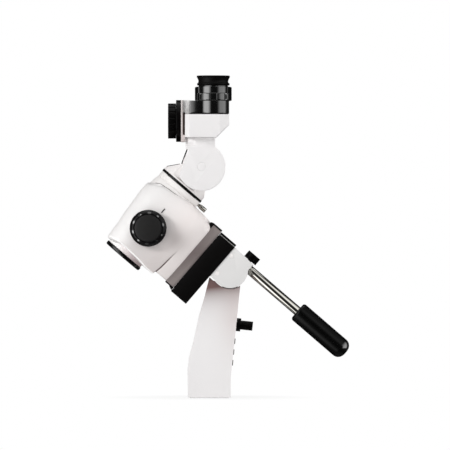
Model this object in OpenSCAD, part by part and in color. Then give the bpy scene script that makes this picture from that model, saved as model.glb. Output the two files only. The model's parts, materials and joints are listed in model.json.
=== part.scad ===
/* [Arm] */
// Height of the tilt axle above the arm's foot
arm_rise = 184.9; // [178:0.1:192]
// Distance of the tilt axle behind the centre of the foot
arm_reach = 29.9; // [28:0.1:32]
// Depth of the arm at its foot
arm_depth = 62; // [60:0.5:66]
// Width of the arm at its foot
arm_width = 62; // [59:0.5:66]
// Width of the arm at its top
arm_top_width = 56; // [55:0.5:59]
// Wall of the arm's two shells
arm_wall = 3; // [2.5:0.1:3.4]
// Thickness of the foot plate
foot_t = 8; // [7:0.5:10]
// Spacing of the four foot bolts, along both sides
foot_bolt_space = 36; // [34:0.5:37]
// Radius of the tapped holes for the foot bolts
foot_bolt_r = 2.5; // [2:0.05:3]
// Radius of the lead's way through the foot
lead_hole_r = 7; // [5:0.5:8]

/* [Tilt bracket] */
// Lean of the optical axis from the vertical, at rest
rest_tilt = 40.7; // [39:0.1:42]
// Radius of the bracket round the tilt axle
bracket_r = 26; // [25:0.1:27]
// Width of the bracket between its two covers
bracket_w = 56; // [54.5:0.5:58]
// Thickness of each side cover
cover_t = 3; // [2:0.1:4]
// Radius of the tilt axle
axle_r = 5; // [4:0.1:6]
// Radius of the arm's lugs on the axle
lug_r = 11; // [10:0.1:11.5]
// Thickness of each lug
lug_t = 7.6; // [6.8:0.1:8]

/* [Handle] */
// Radius of the polished rod
rod_r = 6.85; // [6.4:0.05:7.2]
// Length of the rod between the bracket and the grip
rod_len = 93; // [80:0.5:100]
// Length of the grip
grip_len = 93; // [80:0.5:110]
// Radius of the grip
grip_r = 14.5; // [12:0.1:16]
// Radius of the handle's clamp knob
clamp_r = 10.5; // [9:0.1:12]
// Height of the clamp knob
clamp_h = 11.1; // [9:0.1:12]

/* [Focus drive] */
// Height of the focus housing, without its caps
housing_h = 105; // [103:0.5:106]
// Depth of the focus housing
housing_d = 28.7; // [28:0.1:30]
// Width of the focus housing
housing_w = 64; // [62:0.5:66]
// Wall of the focus housing
housing_wall = 4; // [3.5:0.1:4.2]
// Thickness of the slide
slide_t = 15; // [14:0.1:16]
// Radius of the two guide rails
rail_r = 4; // [3:0.1:4.5]
// Gear module of the focus drive
gear_m = 1; // [0.95:0.01:1.05]

/* [Microscope body] */
// Height of the body under the collar
body_h = 114; // [112:0.5:116]
// Reach of the body in front of the optical axis
body_front = 41; // [39:0.5:43]
// Reach of the body behind the optical axis
body_back = 72; // [71:0.5:75]
// Width of the body
body_w = 111; // [106:0.5:118]
// Wall of the body shells
body_wall = 2.6; // [2:0.1:3]
// Radius of the collar
collar_r = 35.5; // [35:0.1:37]
// Height of the collar
collar_h = 8.8; // [8:0.1:10]
// Radius of the objective's barrel
barrel_r = 29.6; // [29:0.1:30]
// Radius of the objective's black ring
objective_r = 30.8; // [30.3:0.1:32]
// Radius of the objective lens
lens_r = 25; // [22:0.1:25.6]

/* [Magnification changer] */
// Radius of the changer's knobs
knob_r = 26.6; // [24:0.1:28]
// Height of each knob above the body's side
knob_h = 16.5; // [14:0.1:20]
// Radius of the changer drum
drum_r = 24; // [22:0.1:24.5]
// Number of flutes round a knob
knob_flutes = 10; // [8:1:16]

/* [Binocular base] */
// Radius of the black dovetail ring
dovetail_r = 36.2; // [35.8:0.1:37]
// Height of the inclination axis above the dovetail ring
hub_rise = 39.5; // [39:0.1:42]
// Radius of the head's round cheeks
cheek_r = 34.5; // [33.5:0.1:34.8]
// Thickness of each cheek
cheek_t = 8.6; // [7:0.1:10]
// Radius of the inclination pins
pin_r = 6; // [5:0.1:7]

/* [Binocular head] */
// Depth of the head's box
head_d = 63.7; // [62:0.1:66]
// Height of the head's box
head_h = 32.9; // [32.5:0.1:35]
// Width of the head's box
head_w = 118; // [116:0.5:124]
// Wall of the head's box
head_wall = 2.5; // [2:0.1:3]
// Radius of the pupil distance knob
pd_knob_r = 25.5; // [22:0.1:27]
// Radius of the flange behind that knob
pd_flange_r = 30.3; // [28:0.1:30.6]

/* [Eyepieces] */
// Distance between the eyepieces, at rest
pupil_space = 64; // [63:0.1:65]
// Radius of each eyepiece carrier
carrier_r = 22.9; // [22.4:0.1:24]
// Height of each eyepiece carrier
carrier_h = 18.1; // [16:0.1:19]
// Radius of the dioptre rings
dioptre_r = 26.8; // [25:0.1:27]
// Height of the dioptre rings
dioptre_h = 20.2; // [19:0.1:22]
// Radius of the ocular barrels
ocular_r = 21.2; // [20.5:0.1:22]
// Radius of an eyecup's rim
cup_r = 23.7; // [22.5:0.1:25]
// Height of an eyecup above its ring
cup_h = 15.2; // [14:0.1:18]

/* [Controls] */
// Radius of the brightness knob's skirt
dimmer_skirt_r = 9.5; // [8:0.1:11]
// Radius of the brightness knob's grip
dimmer_grip_r = 6.6; // [5:0.1:7.5]
// Length of the brightness knob
dimmer_len = 24; // [20:0.1:28]
// Height of a push button's cap along the arm
button_h = 7.8; // [6:0.1:9]
// Width of a push button's cap
button_w = 12; // [10:0.1:14]
// Distance between the push buttons
button_pitch = 15.6; // [14:0.1:17]

/* [Hidden] */
$fn = 64;

// Clearances that every fit shares
over = 1;
air = 0.3;
seat = 0.05;
run = 0.05;

// Places along and across the leaning head: b runs from the optical axis back to the operator,
// z runs up the optical axis, and both start at the middle of the dovetail ring
body_top = -10.5;
body_low = body_top - body_h;
housing_front = body_back + slide_t + air;
housing_rear = housing_front + housing_d;
axle_back = 16.5;
axle_b = housing_rear + axle_back;
axle_drop = 46.8;
rod_over_axle = 18.6;
rod_z0 = rod_over_axle - axle_drop;
hub_b = 3.9;

// Arm: outline points as shares of its depth and of its rise
arm_front_shares = [[-0.5, 0], [-0.51, 0.222], [-0.48, 0.314], [-0.365, 0.46], [-0.242, 0.649],
                    [-0.11, 0.795], [-0.06, 0.865], [0, 0.941], [0.09, 0.915]];
arm_rear_shares = [[0.72, 0.876], [0.5, 0.162], [0.5, 0]];
arm_far = 2 * arm_depth;
seat_gap = 1.2;
foot_proud = 0.5;
rear_low = [arm_rear_shares[1][0] * arm_depth, arm_rear_shares[1][1] * arm_rise];
rear_high = [arm_rear_shares[0][0] * arm_depth, arm_rear_shares[0][1] * arm_rise];
rear_lean = atan2(rear_high[0] - rear_low[0], rear_high[1] - rear_low[1]);
wall_n = arm_wall * cos(rear_lean);

// Arm core
core_gap = 0.5;
web_t = 6;
foot_block_h = 8;
tie_r = 4;
tie_shares = [[0, 0.19], [0.22, 0.66]];
washer_t = 0.9;
washer_gap = 0.1;
washer_r = 10.5;
block_half = 12;
lug_in = block_half + washer_t + washer_gap;
lug_out = lug_in + lug_t;
slot_out = lug_out + washer_gap + washer_t;
strip_low_share = 0.8;

// Foot screws
foot_screw_r = 2.5;
foot_screw_head_r = 4.5;
foot_screw_head_h = 3;
foot_screw_len = 14;
foot_screw_in = 9;
foot_screw_x = arm_depth / 2 - foot_screw_in;
foot_screw_side = 14;
foot_screw_y = arm_width / 2 - foot_screw_side;
foot_screw_inset = 0.2;

// Controls on the arm's rear face
dimmer_z = 105.8;
board_z = 75;
board_len = 86;
board_t = 1.6;
board_depth = 9;
board_gap = 0.2;
switch_w = 6;
button_mid_z = 66;
button_travel = 1.2;
button_proud = 1.2;
button_gap = 0.2;
button_flange_t = 1.2;
button_flange_w = 1.5;
switch_rest_gap = 0.3;
dimmer_body_r = 8;
dimmer_shaft_r = 3;
dimmer_shaft_in = 8.6;
dimmer_skirt_h = 6.5;
dimmer_groove_r = 0.6;
dimmer_groove_n = 16;

// Tilt bracket
boss_wall = 2.35;
boss_half = rod_r + boss_wall;
boss_rise = 1.5;
boss_back = 36.5;
boss_end = housing_rear + boss_back;
bracket_foot_share = 0.97;
bush_t = 1.1;
bush_r = rod_r + bush_t;
bush_long = 18;
bush_short = 4;
bush_flange_t = 0.8;
bush_flange_w = 1;
slot_gap = 1.5;
tilt_range = 30;
slot_margin = 3;
clamp_back = 12.9;
clamp_b = axle_b + clamp_back;
clamp_stud_r = 3;
clamp_stud_up = 9;
stud_gap = 0.15;
knob_gap = 1;
cover_screw_shares = [[0.32, -0.61], [0.27, 0.64]];
cover_screw_r = 2;
cover_screw_head_r = 3.1;
cover_screw_head_h = 1.6;
cover_screw_len = 9;

// Focus housing and its caps
housing_top = -17;
housing_bottom = housing_top - housing_h;
cap_t = 3.5;
slot_inset = 6;
tongue_half = 12.5;
tongue_gap = 0.5;
rail_y = 17;
rail_in = 11.2;
rail_b = housing_front + rail_in;
rod_hole_gap = 0.5;

// Gear train: a pinion cut on the rod turns an idler, and the idler drives the rack
pinion_n = 12;
idler_n = 28;
pinion_pitch = gear_m * pinion_n / 2;
idler_pitch = gear_m * idler_n / 2;
idler_z = rod_z0 - pinion_pitch - idler_pitch;
addendum_share = 0.85;
dedendum_share = 1.2;
tip_share = 0.12;
root_share = 0.31;
gear_t = 5;
gear_wall_gap = 1;
gear_rear = housing_rear - housing_wall - gear_wall_gap;
gear_front = gear_rear - gear_t;
idler_bore_r = 3;
idler_boss_r = 5;
pinion_stub_r = 3;
rod_in = 0.5;

// Handle
grip_b = boss_end + rod_len;
grip_hold = 60;
grip_front_shares = [[0, 0], [0.86, 0], [0.96, 0.01], [1, 0.03]];
grip_dome_share = 0.134;
grip_dome_step = 9;

// Slide and carriage
slide_top = -13;
slide_rise = 5.5;
slide_bottom = body_low + slide_rise;
slide_half = 30;
block_top = -36;
block_bottom = -98;
block_deep = 12.8;
block_half_y = 26;
block_gap = 0.5;
block_front = housing_front + housing_wall + block_gap;
block_rear = block_front + block_deep;
rack_half = 12.2;
rack_back = 9;
cap_half = 31;
cap_reach = 6;
cap_rise = 2.4;
cap_low = 5.5;

// Body shells: outline points as shares of the body's reaches and height
body_side_shares = [[-0.73, -1], [1, -1], [1, -0.083]];
body_brow_shares = [[0.917, -0.048], [0.69, -0.02], [0.5, 0]];
body_nose_shares = [[-0.866, 0], [-0.915, -0.083], [-0.988, -0.153], [-1, -0.241], [-0.927, -0.61],
                    [-0.866, -0.873], [-0.824, -0.96]];
body_face_shares = [[0.65, 0], [0.793, -0.035], [0.92, -0.1], [0.973, -0.19], [1, -0.3], [1, -0.65],
                    [0.964, -0.83], [0.9, -0.95], [0.83, -1]];
body_plan_front_shares = [[-1, 0.4], [-0.927, 0.65], [-0.732, 0.847], [-0.44, 0.964], [-0.1, 1]];
body_plan_rear_shares = [[0.486, 1], [0.694, 0.937], [0.861, 0.793], [1, 0.6]];
body_step_b = 51.5;
body_step_h = 6;
neck_r = 37.5;
neck_depth = 8;
window_half = 24;
window_gap = 0.2;
window_top = -32;
window_rise = 16.5;
window_bottom = body_low + window_rise;

// Body frame
frame_t = 5;
frame_top = -21.5;
frame_ring_r = 29.8;
frame_ring_gap = 0.2;
frame_side_in = 26;
frame_side_t = 4;
frame_front = -28;
frame_side_front = -20;
frame_rear_t = 8;
frame_foot_rise = 14.5;
frame_foot_top = body_low + frame_foot_rise;
frame_foot_t = 4;
light_r = 22;
foot_light_r = 26;

// Collar and dovetail
collar_bore_r = 28.2;
dovetail_low_r = 27.8;
dovetail_top_r = 26;
dovetail_h = 5.5;
dovetail_low = -1.4;
dovetail_high = 2.3;
dovetail_light_r = 20;
base_light_r = 18;
screw_z = -5.2;
screw_r = 2;
screw_head_r = 3.4;
screw_cone = 5;
screw_head_len = 14;

// Lamp
lamp_rise = 7;
lamp_z = frame_foot_top + lamp_rise;
lamp_r = 6.5;
lamp_front = 36;
lamp_fin_r = 9;
lamp_fin_t = 1.2;
lamp_fin_n = 4;
lamp_fin_step = 3;
lamp_fin_b = 46;
prism_front = 20;
prism_side = 12;
prism_half = 8;

// Objective
objective_b = 1.5;
barrel_proud = 4.3;
barrel_bottom = body_low - barrel_proud;
barrel_lip = 3;
barrel_lip_r = 23;
barrel_gap = 0.4;
objective_h = 5.7;
objective_recess = 1.6;
objective_lens_t = 4.1;
lens_curve = 90;
inner_lens_t = 4;

// Magnification changer
changer_b = 3.5;
changer_rise = 32.1;
changer_z = frame_foot_top + changer_rise;
drum_half = 25;
drum_bore_r = 8;
drum_bore_y = 11.5;
changer_lens_r = 7.9;
changer_lens_t = 3;
changer_lens_at_share = 0.72;
changer_curve = 30;
changer_stub_r = 5;
knob_side_gap = 0.7;
knob_rim_share = 0.42;
knob_cap_r_share = 0.74;
knob_cap_h = 1.6;
knob_bevel_share = 0.8;
flute_r = 2.6;
flute_share = 0.92;
flute_floor_h = 1;
knob_grip = 7;

// Binocular base
flange_h = 2.3;
base_half = 29;
base_left = 35.6;
base_low = 6;
base_neck_left = 21.8;
base_neck_right = 28;
base_neck_top = 22.5;
base_neck_top_right = 20;
base_shoulder_right = 8;
ear_r = 28;
drum_wall = 3.5;
mirror_len = 40;
mirror_half_t = 2;
mirror_half = 24;
trunnion_r = 3;
pin_in = 2;

// Binocular head, from the inclination axis: x back to the operator, z up at rest
neck_front = -23.2;
neck_rear = 19.5;
neck_corner = 10;
neck_base = 31;
neck_light_r = 14;
cheek_gap = 0.4;
cheek_in = base_half + cheek_gap;
cheek_chord = 26.2;
chord_top = 16.5;
chord_angle = 20;
head_front = -23.8;
head_low = 42.8;
head_rear = head_front + head_d;
head_high = head_low + head_h;
head_chamfer = 19;
front_band = 6.4;
rear_band = 13.6;
band_depth = 9;
deck_t = 1.5;
deck_side = 2;
deck_front = -17;
deck_rear = 38.5;
front_plate_x = -29.7;
front_plate_t = 2.5;
front_plate_half = 31;
front_plate_low = 36.3;
front_plate_foot = 10;
front_plate_high = 96.5;
block_low = 78.3;
block_high = 96.5;
front_block_rear = -17.2;
front_block_half = 28;
pd_z = 66.7;
pd_flange_t = 7.3;
pd_knob_t = 11.3;
pd_shaft_r = 3;
pd_gear_x = -12;
pd_gear_t = 5;
pd_n = 12;
pd_pitch = gear_m * pd_n / 2;
pd_rack_back = 1.4;
pd_rack_half = 12.6;
pd_leg_out = 32;
pd_leg_w = 6;
pd_slot_gap = 0.6;
pd_range = 4.6;
pd_flutes = 18;
pd_flute_r = 2;
pd_flute_out = 1;
prism_w = 18;
prism_x = 1.5;
side_prism_y = 30;

// Eyepieces
eye_x = 17;
carrier_gap = 0.3;
carrier_block_half = 17;
carrier_z = head_high + deck_t + carrier_gap;
carrier_top = carrier_z + carrier_h;
carrier_front = -16.6;
carrier_light_r = 12;
dioptre_gap = 0.3;
dioptre_z = carrier_top + dioptre_gap;
dioptre_top = dioptre_z + dioptre_h;
dioptre_n = 10;
dioptre_core_r = 23.4;
dioptre_lug_share = 0.36;
dioptre_bevel = 1.6;
ocular_run = 0.1;
ocular_inset = 2.4;
ocular_low = dioptre_z + ocular_inset;
ocular_bore_r = 18;
ocular_neck_r = 17;
ocular_neck_h = 5.4;
eye_lens_r = 12.5;
eye_lens_t = 4;
eye_lens_low = 1.4;
eye_stop_h = 3;
eye_curve = 24;
cup_fit = 0.1;
cup_seat = 0.8;
cup_z = dioptre_top + cup_seat;
cup_shares = [[0.72, 0], [0.87, 0], [0.87, 0.1], [0.985, 0.3], [0.9, 0.5], [0.9, 0.6], [1, 0.87],
              [0.98, 1], [0.7, 1], [0.6, 0.9], [0.6, 0.37], [0.72, 0.37]];

// The same shape twice, either side of the middle
module both_sides() {
    children();
    mirror([0, 1, 0]) children();
}

// Upright outline in x and z, carried across the width w
module across(w) rotate([90, 0, 0]) linear_extrude(w, center = true) children();

// Upright outline in x and z, carried from y0 to y1
module band(y0, y1) translate([0, y1, 0]) rotate([90, 0, 0]) linear_extrude(y1 - y0) children();

// Outline in y and z, carried from x0 to x1
module lengthwise(x0, x1) translate([x0, 0, 0]) rotate([90, 0, 90]) linear_extrude(x1 - x0) children();

module rod_x(r, x0, x1) translate([x0, 0, 0]) rotate([0, 90, 0]) cylinder(r = r, h = x1 - x0);
module rod_y(r, y0, y1) translate([0, y0, 0]) rotate([-90, 0, 0]) cylinder(r = r, h = y1 - y0);
module rod_z(r, z0, z1) translate([0, 0, z0]) cylinder(r = r, h = z1 - z0);
module box(lo, hi) translate(lo) cube(hi - lo);
module tube_z(r, bore, z0, z1) difference() {
    rod_z(r, z0, z1);
    rod_z(bore, z0 - over, z1 + over);
}

// Corners moved in by d along both of their edges; the outline is convex and runs anticlockwise
function unit(v) = v / norm(v);
function turned(v) = [-v[1], v[0]];
function inward(p, i) = turned(unit(p[(i + 1) % len(p)] - p[i]));
function inset(p, d) = [for (i = [0 : len(p) - 1])
    let (n = inward(p, (i + len(p) - 1) % len(p)), m = inward(p, i)) p[i] + d * (n + m) / (1 + n * m)];

// Frame of the leaning microscope, turned about the tilt axle
module in_head() translate([arm_reach, 0, arm_rise]) rotate([0, rest_tilt, 0])
    translate([-axle_b, 0, axle_drop]) children();

// Frame of the binocular head, upright, with its middle on the inclination axis
module in_bino() in_head() translate([hub_b, 0, hub_rise]) rotate([0, -rest_tilt, 0]) children();

// Frame on the arm's rear face at the height z, with its own z pointing out of the face
module on_rear(z) translate([lookup(z, [[rear_low[1], rear_low[0]], [rear_high[1], rear_high[0]]]), 0, z])
    rotate([0, 90 + rear_lean, 0]) children();

// Flat disc of glass with one bulged face
module lens(r, t, curve) intersection() {
    rod_z(r, 0, t);
    translate([0, 0, t - curve]) sphere(r = curve, $fn = 96);
}

// Gear outline whose teeth sit at whole steps from the angle first
module gear(n, pitch, first) {
    step = 360 / n;
    tip = pitch + addendum_share * gear_m;
    root = pitch - dedendum_share * gear_m;
    polygon([for (i = [0 : n - 1], c = [[root, -root_share], [tip, -tip_share], [tip, tip_share],
                                        [root, root_share]])
        c[0] * [cos(first + step * (i + c[1])), sin(first + step * (i + c[1]))]]);
}

// Row of rack teeth along y, pointing up, over a bar of the height back below the roots
module rack_row(half, back) {
    step = PI * gear_m;
    n = floor(half / step - root_share);
    tip = addendum_share * gear_m;
    root = -dedendum_share * gear_m;
    polygon(concat([[half, root - back], [-half, root - back], [-half, root]],
        [for (i = [-n : n], c = [[-root_share, root], [-tip_share, tip], [tip_share, tip],
                                         [root_share, root]])
            [step * (i + c[0]), c[1]]], [[half, root]]));
}

// Arm outline with its front and rear edges moved in
function arm_outline(front_in, rear_in) = concat(
    [for (s = arm_front_shares) [s[0] * arm_depth + front_in, s[1] * arm_rise]],
    [for (s = arm_rear_shares) [s[0] * arm_depth - rear_in, s[1] * arm_rise]]);

// Solid form of the arm with all its walls moved in by d, hollowed at the top for the bracket
module arm_form(d) difference() {
    intersection() {
        across(arm_far) polygon(arm_outline(d, d));
        lengthwise(-arm_far, arm_far) polygon([[d - arm_width / 2, 0], [arm_width / 2 - d, 0],
            [arm_top_width / 2 - d, arm_rise], [d - arm_top_width / 2, arm_rise]]);
    }
    translate([arm_reach, 0, arm_rise]) rod_y(bracket_r + seat_gap + d, -arm_far, arm_far);
}

module lug_way(gap) both_sides() box([arm_reach - lug_r - gap, lug_in - gap, arm_rise * strip_low_share],
    [arm_reach + lug_r + gap, lug_out + gap, arm_rise]);

module foot_screw_places() {
    for (s = [-1, 1]) {
        translate([s * foot_screw_x, 0, 0]) children();
        translate([0, s * foot_screw_y, 0]) children();
    }
}

module foot_plate() color("silver") difference() {
    intersection() {
        arm_form(arm_wall + board_gap);
        box([-arm_far, -arm_far, 0], [arm_far, arm_far, foot_t]);
    }
    for (x = [-1, 1], y = [-1, 1]) translate([x, y, 0] * foot_bolt_space / 2)
        rod_z(foot_bolt_r, -over, foot_t + over);
    rod_z(lead_hole_r, -over, foot_t + over);
    foot_screw_places() {
        rod_z(foot_screw_r + seat, -over, foot_t + over);
        rod_z(foot_screw_head_r + seat, -over, foot_screw_inset + foot_screw_head_h);
    }
}

module foot_screws() color("dimgray") foot_screw_places() {
    rod_z(foot_screw_head_r, foot_screw_inset, foot_screw_inset + foot_screw_head_h);
    rod_z(foot_screw_r, foot_screw_inset + foot_screw_head_h, foot_screw_len);
}

module arm_core() color("gainsboro") difference() {
    union() {
        difference() {
            intersection() {
                arm_form(arm_wall + core_gap);
                box([-arm_far, -lug_out, foot_t], [arm_far, lug_out, arm_rise]);
            }
            intersection() {
                across(2 * lug_in) polygon(arm_outline(arm_wall + core_gap + web_t, -over));
                box([-arm_far, -arm_far, foot_t + foot_block_h], [arm_far, arm_far, arm_rise]);
            }
            rod_z(lead_hole_r, 0, foot_t + foot_block_h + over);
            foot_screw_places() rod_z(foot_screw_r + seat, 0, foot_screw_len + seat);
        }
        intersection() {
            arm_form(arm_wall);
            for (s = tie_shares) translate([s[0] * arm_depth, 0, s[1] * arm_rise])
                rod_y(tie_r, -arm_far, arm_far);
        }
        lug_way(0);
        translate([arm_reach, 0, arm_rise]) both_sides() rod_y(lug_r, lug_in, lug_out);
    }
    translate([arm_reach, 0, arm_rise]) rod_y(axle_r + run, -arm_far, arm_far);
}

module arm_shell(y0, y1) color("whitesmoke") difference() {
    intersection() {
        arm_form(0);
        box([-arm_far, y0, foot_proud], [arm_far, y1, arm_rise]);
    }
    arm_form(arm_wall);
    lug_way(core_gap);
    for (i = [-1 : 1]) on_rear(button_mid_z + i * button_pitch)
        translate([0, 0, -wall_n]) cube([button_h + 2 * button_gap, button_w + 2 * button_gap,
            wall_n * 4], center = true);
    on_rear(dimmer_z) rod_z(dimmer_shaft_r + air, -2 * arm_wall, arm_wall);
}
module arm_shell_left() arm_shell(-arm_far, 0);
module arm_shell_right() arm_shell(0, arm_far);

module control_board() color("darkgreen") {
    on_rear(board_z) translate([-board_len / 2, board_gap - lug_in, -board_depth - board_t])
        cube([board_len, 2 * (lug_in - board_gap), board_t]);
    for (i = [-1 : 1]) on_rear(button_mid_z + i * button_pitch)
        box([-switch_w / 2, -switch_w / 2, -board_depth],
            [switch_w / 2, switch_w / 2, -wall_n - button_gap - button_flange_t - button_travel
            - switch_rest_gap]);
    on_rear(dimmer_z) tube_z(dimmer_body_r, dimmer_shaft_r + run, -board_depth, -wall_n - button_gap);
}

module brightness_knob() color("black") on_rear(dimmer_z) difference() {
    union() {
        rod_z(dimmer_skirt_r, air, dimmer_skirt_h);
        rod_z(dimmer_grip_r, dimmer_skirt_h, dimmer_len);
        rod_z(dimmer_shaft_r, -dimmer_shaft_in, dimmer_skirt_h);
    }
    for (i = [0 : dimmer_groove_n - 1]) rotate(i * 360 / dimmer_groove_n)
        translate([dimmer_grip_r, 0, 0]) rod_z(dimmer_groove_r, dimmer_skirt_h + over, dimmer_len + over);
}

module push_button(step) color("black") on_rear(button_mid_z + step * button_pitch) {
    box([-button_h / 2, -button_w / 2, -wall_n - button_gap], [button_h / 2, button_w / 2, button_proud]);
    box([-button_h / 2 - button_flange_w, -button_w / 2 - button_flange_w,
         -wall_n - button_gap - button_flange_t],
        [button_h / 2 + button_flange_w, button_w / 2 + button_flange_w, -wall_n - button_gap]);
}
module button_upper() push_button(1);
module button_middle() push_button(0);
module button_lower() push_button(-1);

module at_axle() translate([axle_b, 0, -axle_drop]) children();

module bracket_outline() {
    low = -axle_drop - bracket_foot_share * bracket_r;
    polygon([[housing_rear, rod_z0 + boss_half + boss_rise], [housing_rear, low], [axle_b, low],
             [axle_b, -axle_drop], [boss_end, rod_z0 - boss_half], [boss_end, rod_z0 + boss_half]]);
    intersection() {
        translate([axle_b, -axle_drop]) circle(r = bracket_r);
        translate([housing_rear, -axle_drop - 2 * bracket_r]) square(4 * bracket_r);
    }
}

// Room that a lug needs over the whole tilt
module lug_sweep() {
    circle(r = lug_r + slot_gap);
    for (turn = [-slot_margin, tilt_range / 2, tilt_range + slot_margin])
        rotate(rest_tilt - 90 + turn) translate([0, -lug_r - slot_gap / 2])
            square([2 * bracket_r, 2 * lug_r + slot_gap]);
}

module cover_screw_places() for (s = cover_screw_shares)
    translate([housing_rear + s[0] * axle_back, 0, s[1] * bracket_r - axle_drop]) children();

module tilt_bracket() color("white") in_head() difference() {
    across(bracket_w) bracket_outline();
    at_axle() {
        both_sides() band(block_half, slot_out) lug_sweep();
        rod_y(axle_r + seat, -bracket_w, bracket_w);
    }
    translate([0, 0, rod_z0]) {
        rod_x(bush_r + seat, housing_rear - over, boss_end + over);
        rod_x(bush_r + bush_flange_w + seat, boss_end, boss_end + bracket_r);
    }
    translate([clamp_b, 0, rod_z0]) rod_z(clamp_stud_r + seat, 0, 2 * boss_half);
    cover_screw_places() both_sides()
        rod_y(cover_screw_r + seat, bracket_w / 2 - cover_screw_len, bracket_w);
}

module bracket_cover_left() color("white") in_head() mirror([0, 1, 0]) bracket_cover();
module bracket_cover_right() color("white") in_head() bracket_cover();
module bracket_cover() difference() {
    band(bracket_w / 2, bracket_w / 2 + cover_t) bracket_outline();
    cover_screw_places() {
        rod_y(cover_screw_r + seat, 0, bracket_w);
        rod_y(cover_screw_head_r + seat, bracket_w / 2 + cover_t - cover_screw_head_h, bracket_w);
    }
}

module bracket_screws() color("silver") in_head() both_sides() cover_screw_places() {
    rod_y(cover_screw_head_r, bracket_w / 2 + cover_t - cover_screw_head_h, bracket_w / 2 + cover_t);
    rod_y(cover_screw_r, bracket_w / 2 + seat - cover_screw_len, bracket_w / 2 + cover_t);
}

module tilt_axle() color("silver") in_head() at_axle() rod_y(axle_r, seat - bracket_w / 2,
    bracket_w / 2 - seat);

module bracket_bushes() color("goldenrod") in_head() {
    at_axle() both_sides() for (y = [block_half + seat, slot_out - washer_t - seat]) difference() {
        rod_y(washer_r, y, y + washer_t);
        rod_y(axle_r + seat, y - over, y + washer_t + over);
    }
    translate([0, 0, rod_z0]) difference() {
        union() {
            rod_x(bush_r, housing_rear + seat, housing_rear + bush_long);
            rod_x(bush_r, boss_end - bush_short, boss_end + bush_flange_t);
            rod_x(bush_r + bush_flange_w, boss_end + seat, boss_end + bush_flange_t);
        }
        rod_x(rod_r + run, housing_rear - over, boss_end + bush_flange_t + over);
    }
}

module focus_housing() color("black") in_head() {
    difference() {
        box([housing_front, -housing_w / 2, housing_bottom], [housing_rear, housing_w / 2, housing_top]);
        box([housing_front + housing_wall, housing_wall - housing_w / 2, housing_bottom - over],
            [housing_rear - housing_wall, housing_w / 2 - housing_wall, housing_top + over]);
        box([housing_front - over, -tongue_half - tongue_gap, housing_bottom + slot_inset],
            [housing_front + housing_wall + over, tongue_half + tongue_gap, housing_top - slot_inset]);
        translate([0, 0, rod_z0]) rod_x(rod_r + rod_hole_gap, housing_front, housing_rear + over);
    }
    translate([0, 0, idler_z]) {
        rod_x(idler_boss_r, gear_rear + air, housing_rear - housing_wall);
        rod_x(idler_bore_r, gear_front, housing_rear - housing_wall);
    }
}

module housing_caps() color("black") in_head() for (z = [housing_top, housing_bottom - cap_t])
    box([housing_front, -housing_w / 2, z], [housing_rear, housing_w / 2, z + cap_t]);

module guide_rails() color("silver") in_head() for (y = [-rail_y, rail_y])
    translate([rail_b, y, 0]) rod_z(rail_r, housing_bottom, housing_top);

module handle_rod() color("silver") in_head() translate([0, 0, rod_z0]) {
    rod_x(rod_r, housing_rear - housing_wall + rod_in, grip_b + grip_hold);
    rod_x(pinion_stub_r, gear_front, housing_rear - housing_wall + rod_in);
    lengthwise(gear_front, gear_rear) gear(pinion_n, pinion_pitch, 0);
}

module handle_grip() color("black") in_head() translate([0, 0, rod_z0]) difference() {
    translate([grip_b, 0, 0]) rotate([0, 90, 0]) rotate_extrude()
        polygon(concat([for (s = grip_front_shares) [s[0] * grip_r, s[1] * grip_len]],
            [for (t = [0 : grip_dome_step : 90]) [grip_r * pow(cos(t), 0.8),
                grip_len * (1 - grip_dome_share * (1 - sin(t)))]]));
    rod_x(rod_r + seat, grip_b - over, grip_b + grip_hold + seat);
}

module idler_gear() color("goldenrod") in_head() translate([0, 0, idler_z]) difference() {
    lengthwise(gear_front, gear_rear) gear(idler_n, idler_pitch, 180 / idler_n);
    rod_x(idler_bore_r + run, gear_front - over, gear_rear + over);
}

module clamp_knob() color("black") in_head() translate([clamp_b, 0, 0]) {
    difference() {
        rod_z(clamp_r, rod_z0 + boss_half + knob_gap, rod_z0 + boss_half + knob_gap + clamp_h);
        rod_z(clamp_stud_r + seat, rod_z0, rod_z0 + boss_half + clamp_stud_up + seat);
        for (i = [0 : knob_flutes - 1]) rotate(i * 360 / knob_flutes)
            translate([clamp_r + over / 2, 0, 0])
                rod_z(over, rod_z0, rod_z0 + boss_half + knob_gap + clamp_h + over);
    }
    rod_z(clamp_stud_r, rod_z0 + rod_r + stud_gap, rod_z0 + boss_half + clamp_stud_up);
}

module focus_slide() color("dimgray") in_head() difference() {
    union() {
        box([body_back, -slide_half, slide_bottom], [body_back + slide_t, slide_half, slide_top]);
        box([body_back + slide_t, -tongue_half, block_bottom], [block_front, tongue_half, block_top]);
        box([block_front, -block_half_y, block_bottom], [block_rear, block_half_y, block_top]);
    }
    for (y = [-rail_y, rail_y]) translate([rail_b, y, 0])
        rod_z(rail_r + run, block_bottom - over, block_top + over);
}

module slide_caps() color("black") in_head() {
    across(2 * cap_half) polygon([[body_back, slide_top], [body_back + slide_t, slide_top],
        [body_back + slide_t, slide_top + cap_rise], [body_back - cap_reach / 3, slide_top + cap_rise],
        [body_back - cap_reach, slide_top + cap_rise / 3],
        [body_brow_shares[0][0] * body_back, body_top + body_brow_shares[0][1] * body_h],
        [body_back, body_top + body_side_shares[2][1] * body_h]]);
    across(2 * cap_half) polygon([[body_back, slide_bottom], [body_back, slide_bottom - cap_low / 3],
        [body_back + slide_t / 2, slide_bottom - cap_low / 3],
        [body_back + slide_t, slide_bottom - cap_low], [body_back + slide_t, slide_bottom]]);
}

module focus_rack() color("goldenrod") in_head() translate([0, idler_pitch, idler_z])
    lengthwise(block_rear, gear_rear) rotate(90) rack_row(rack_half, rack_back);

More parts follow.
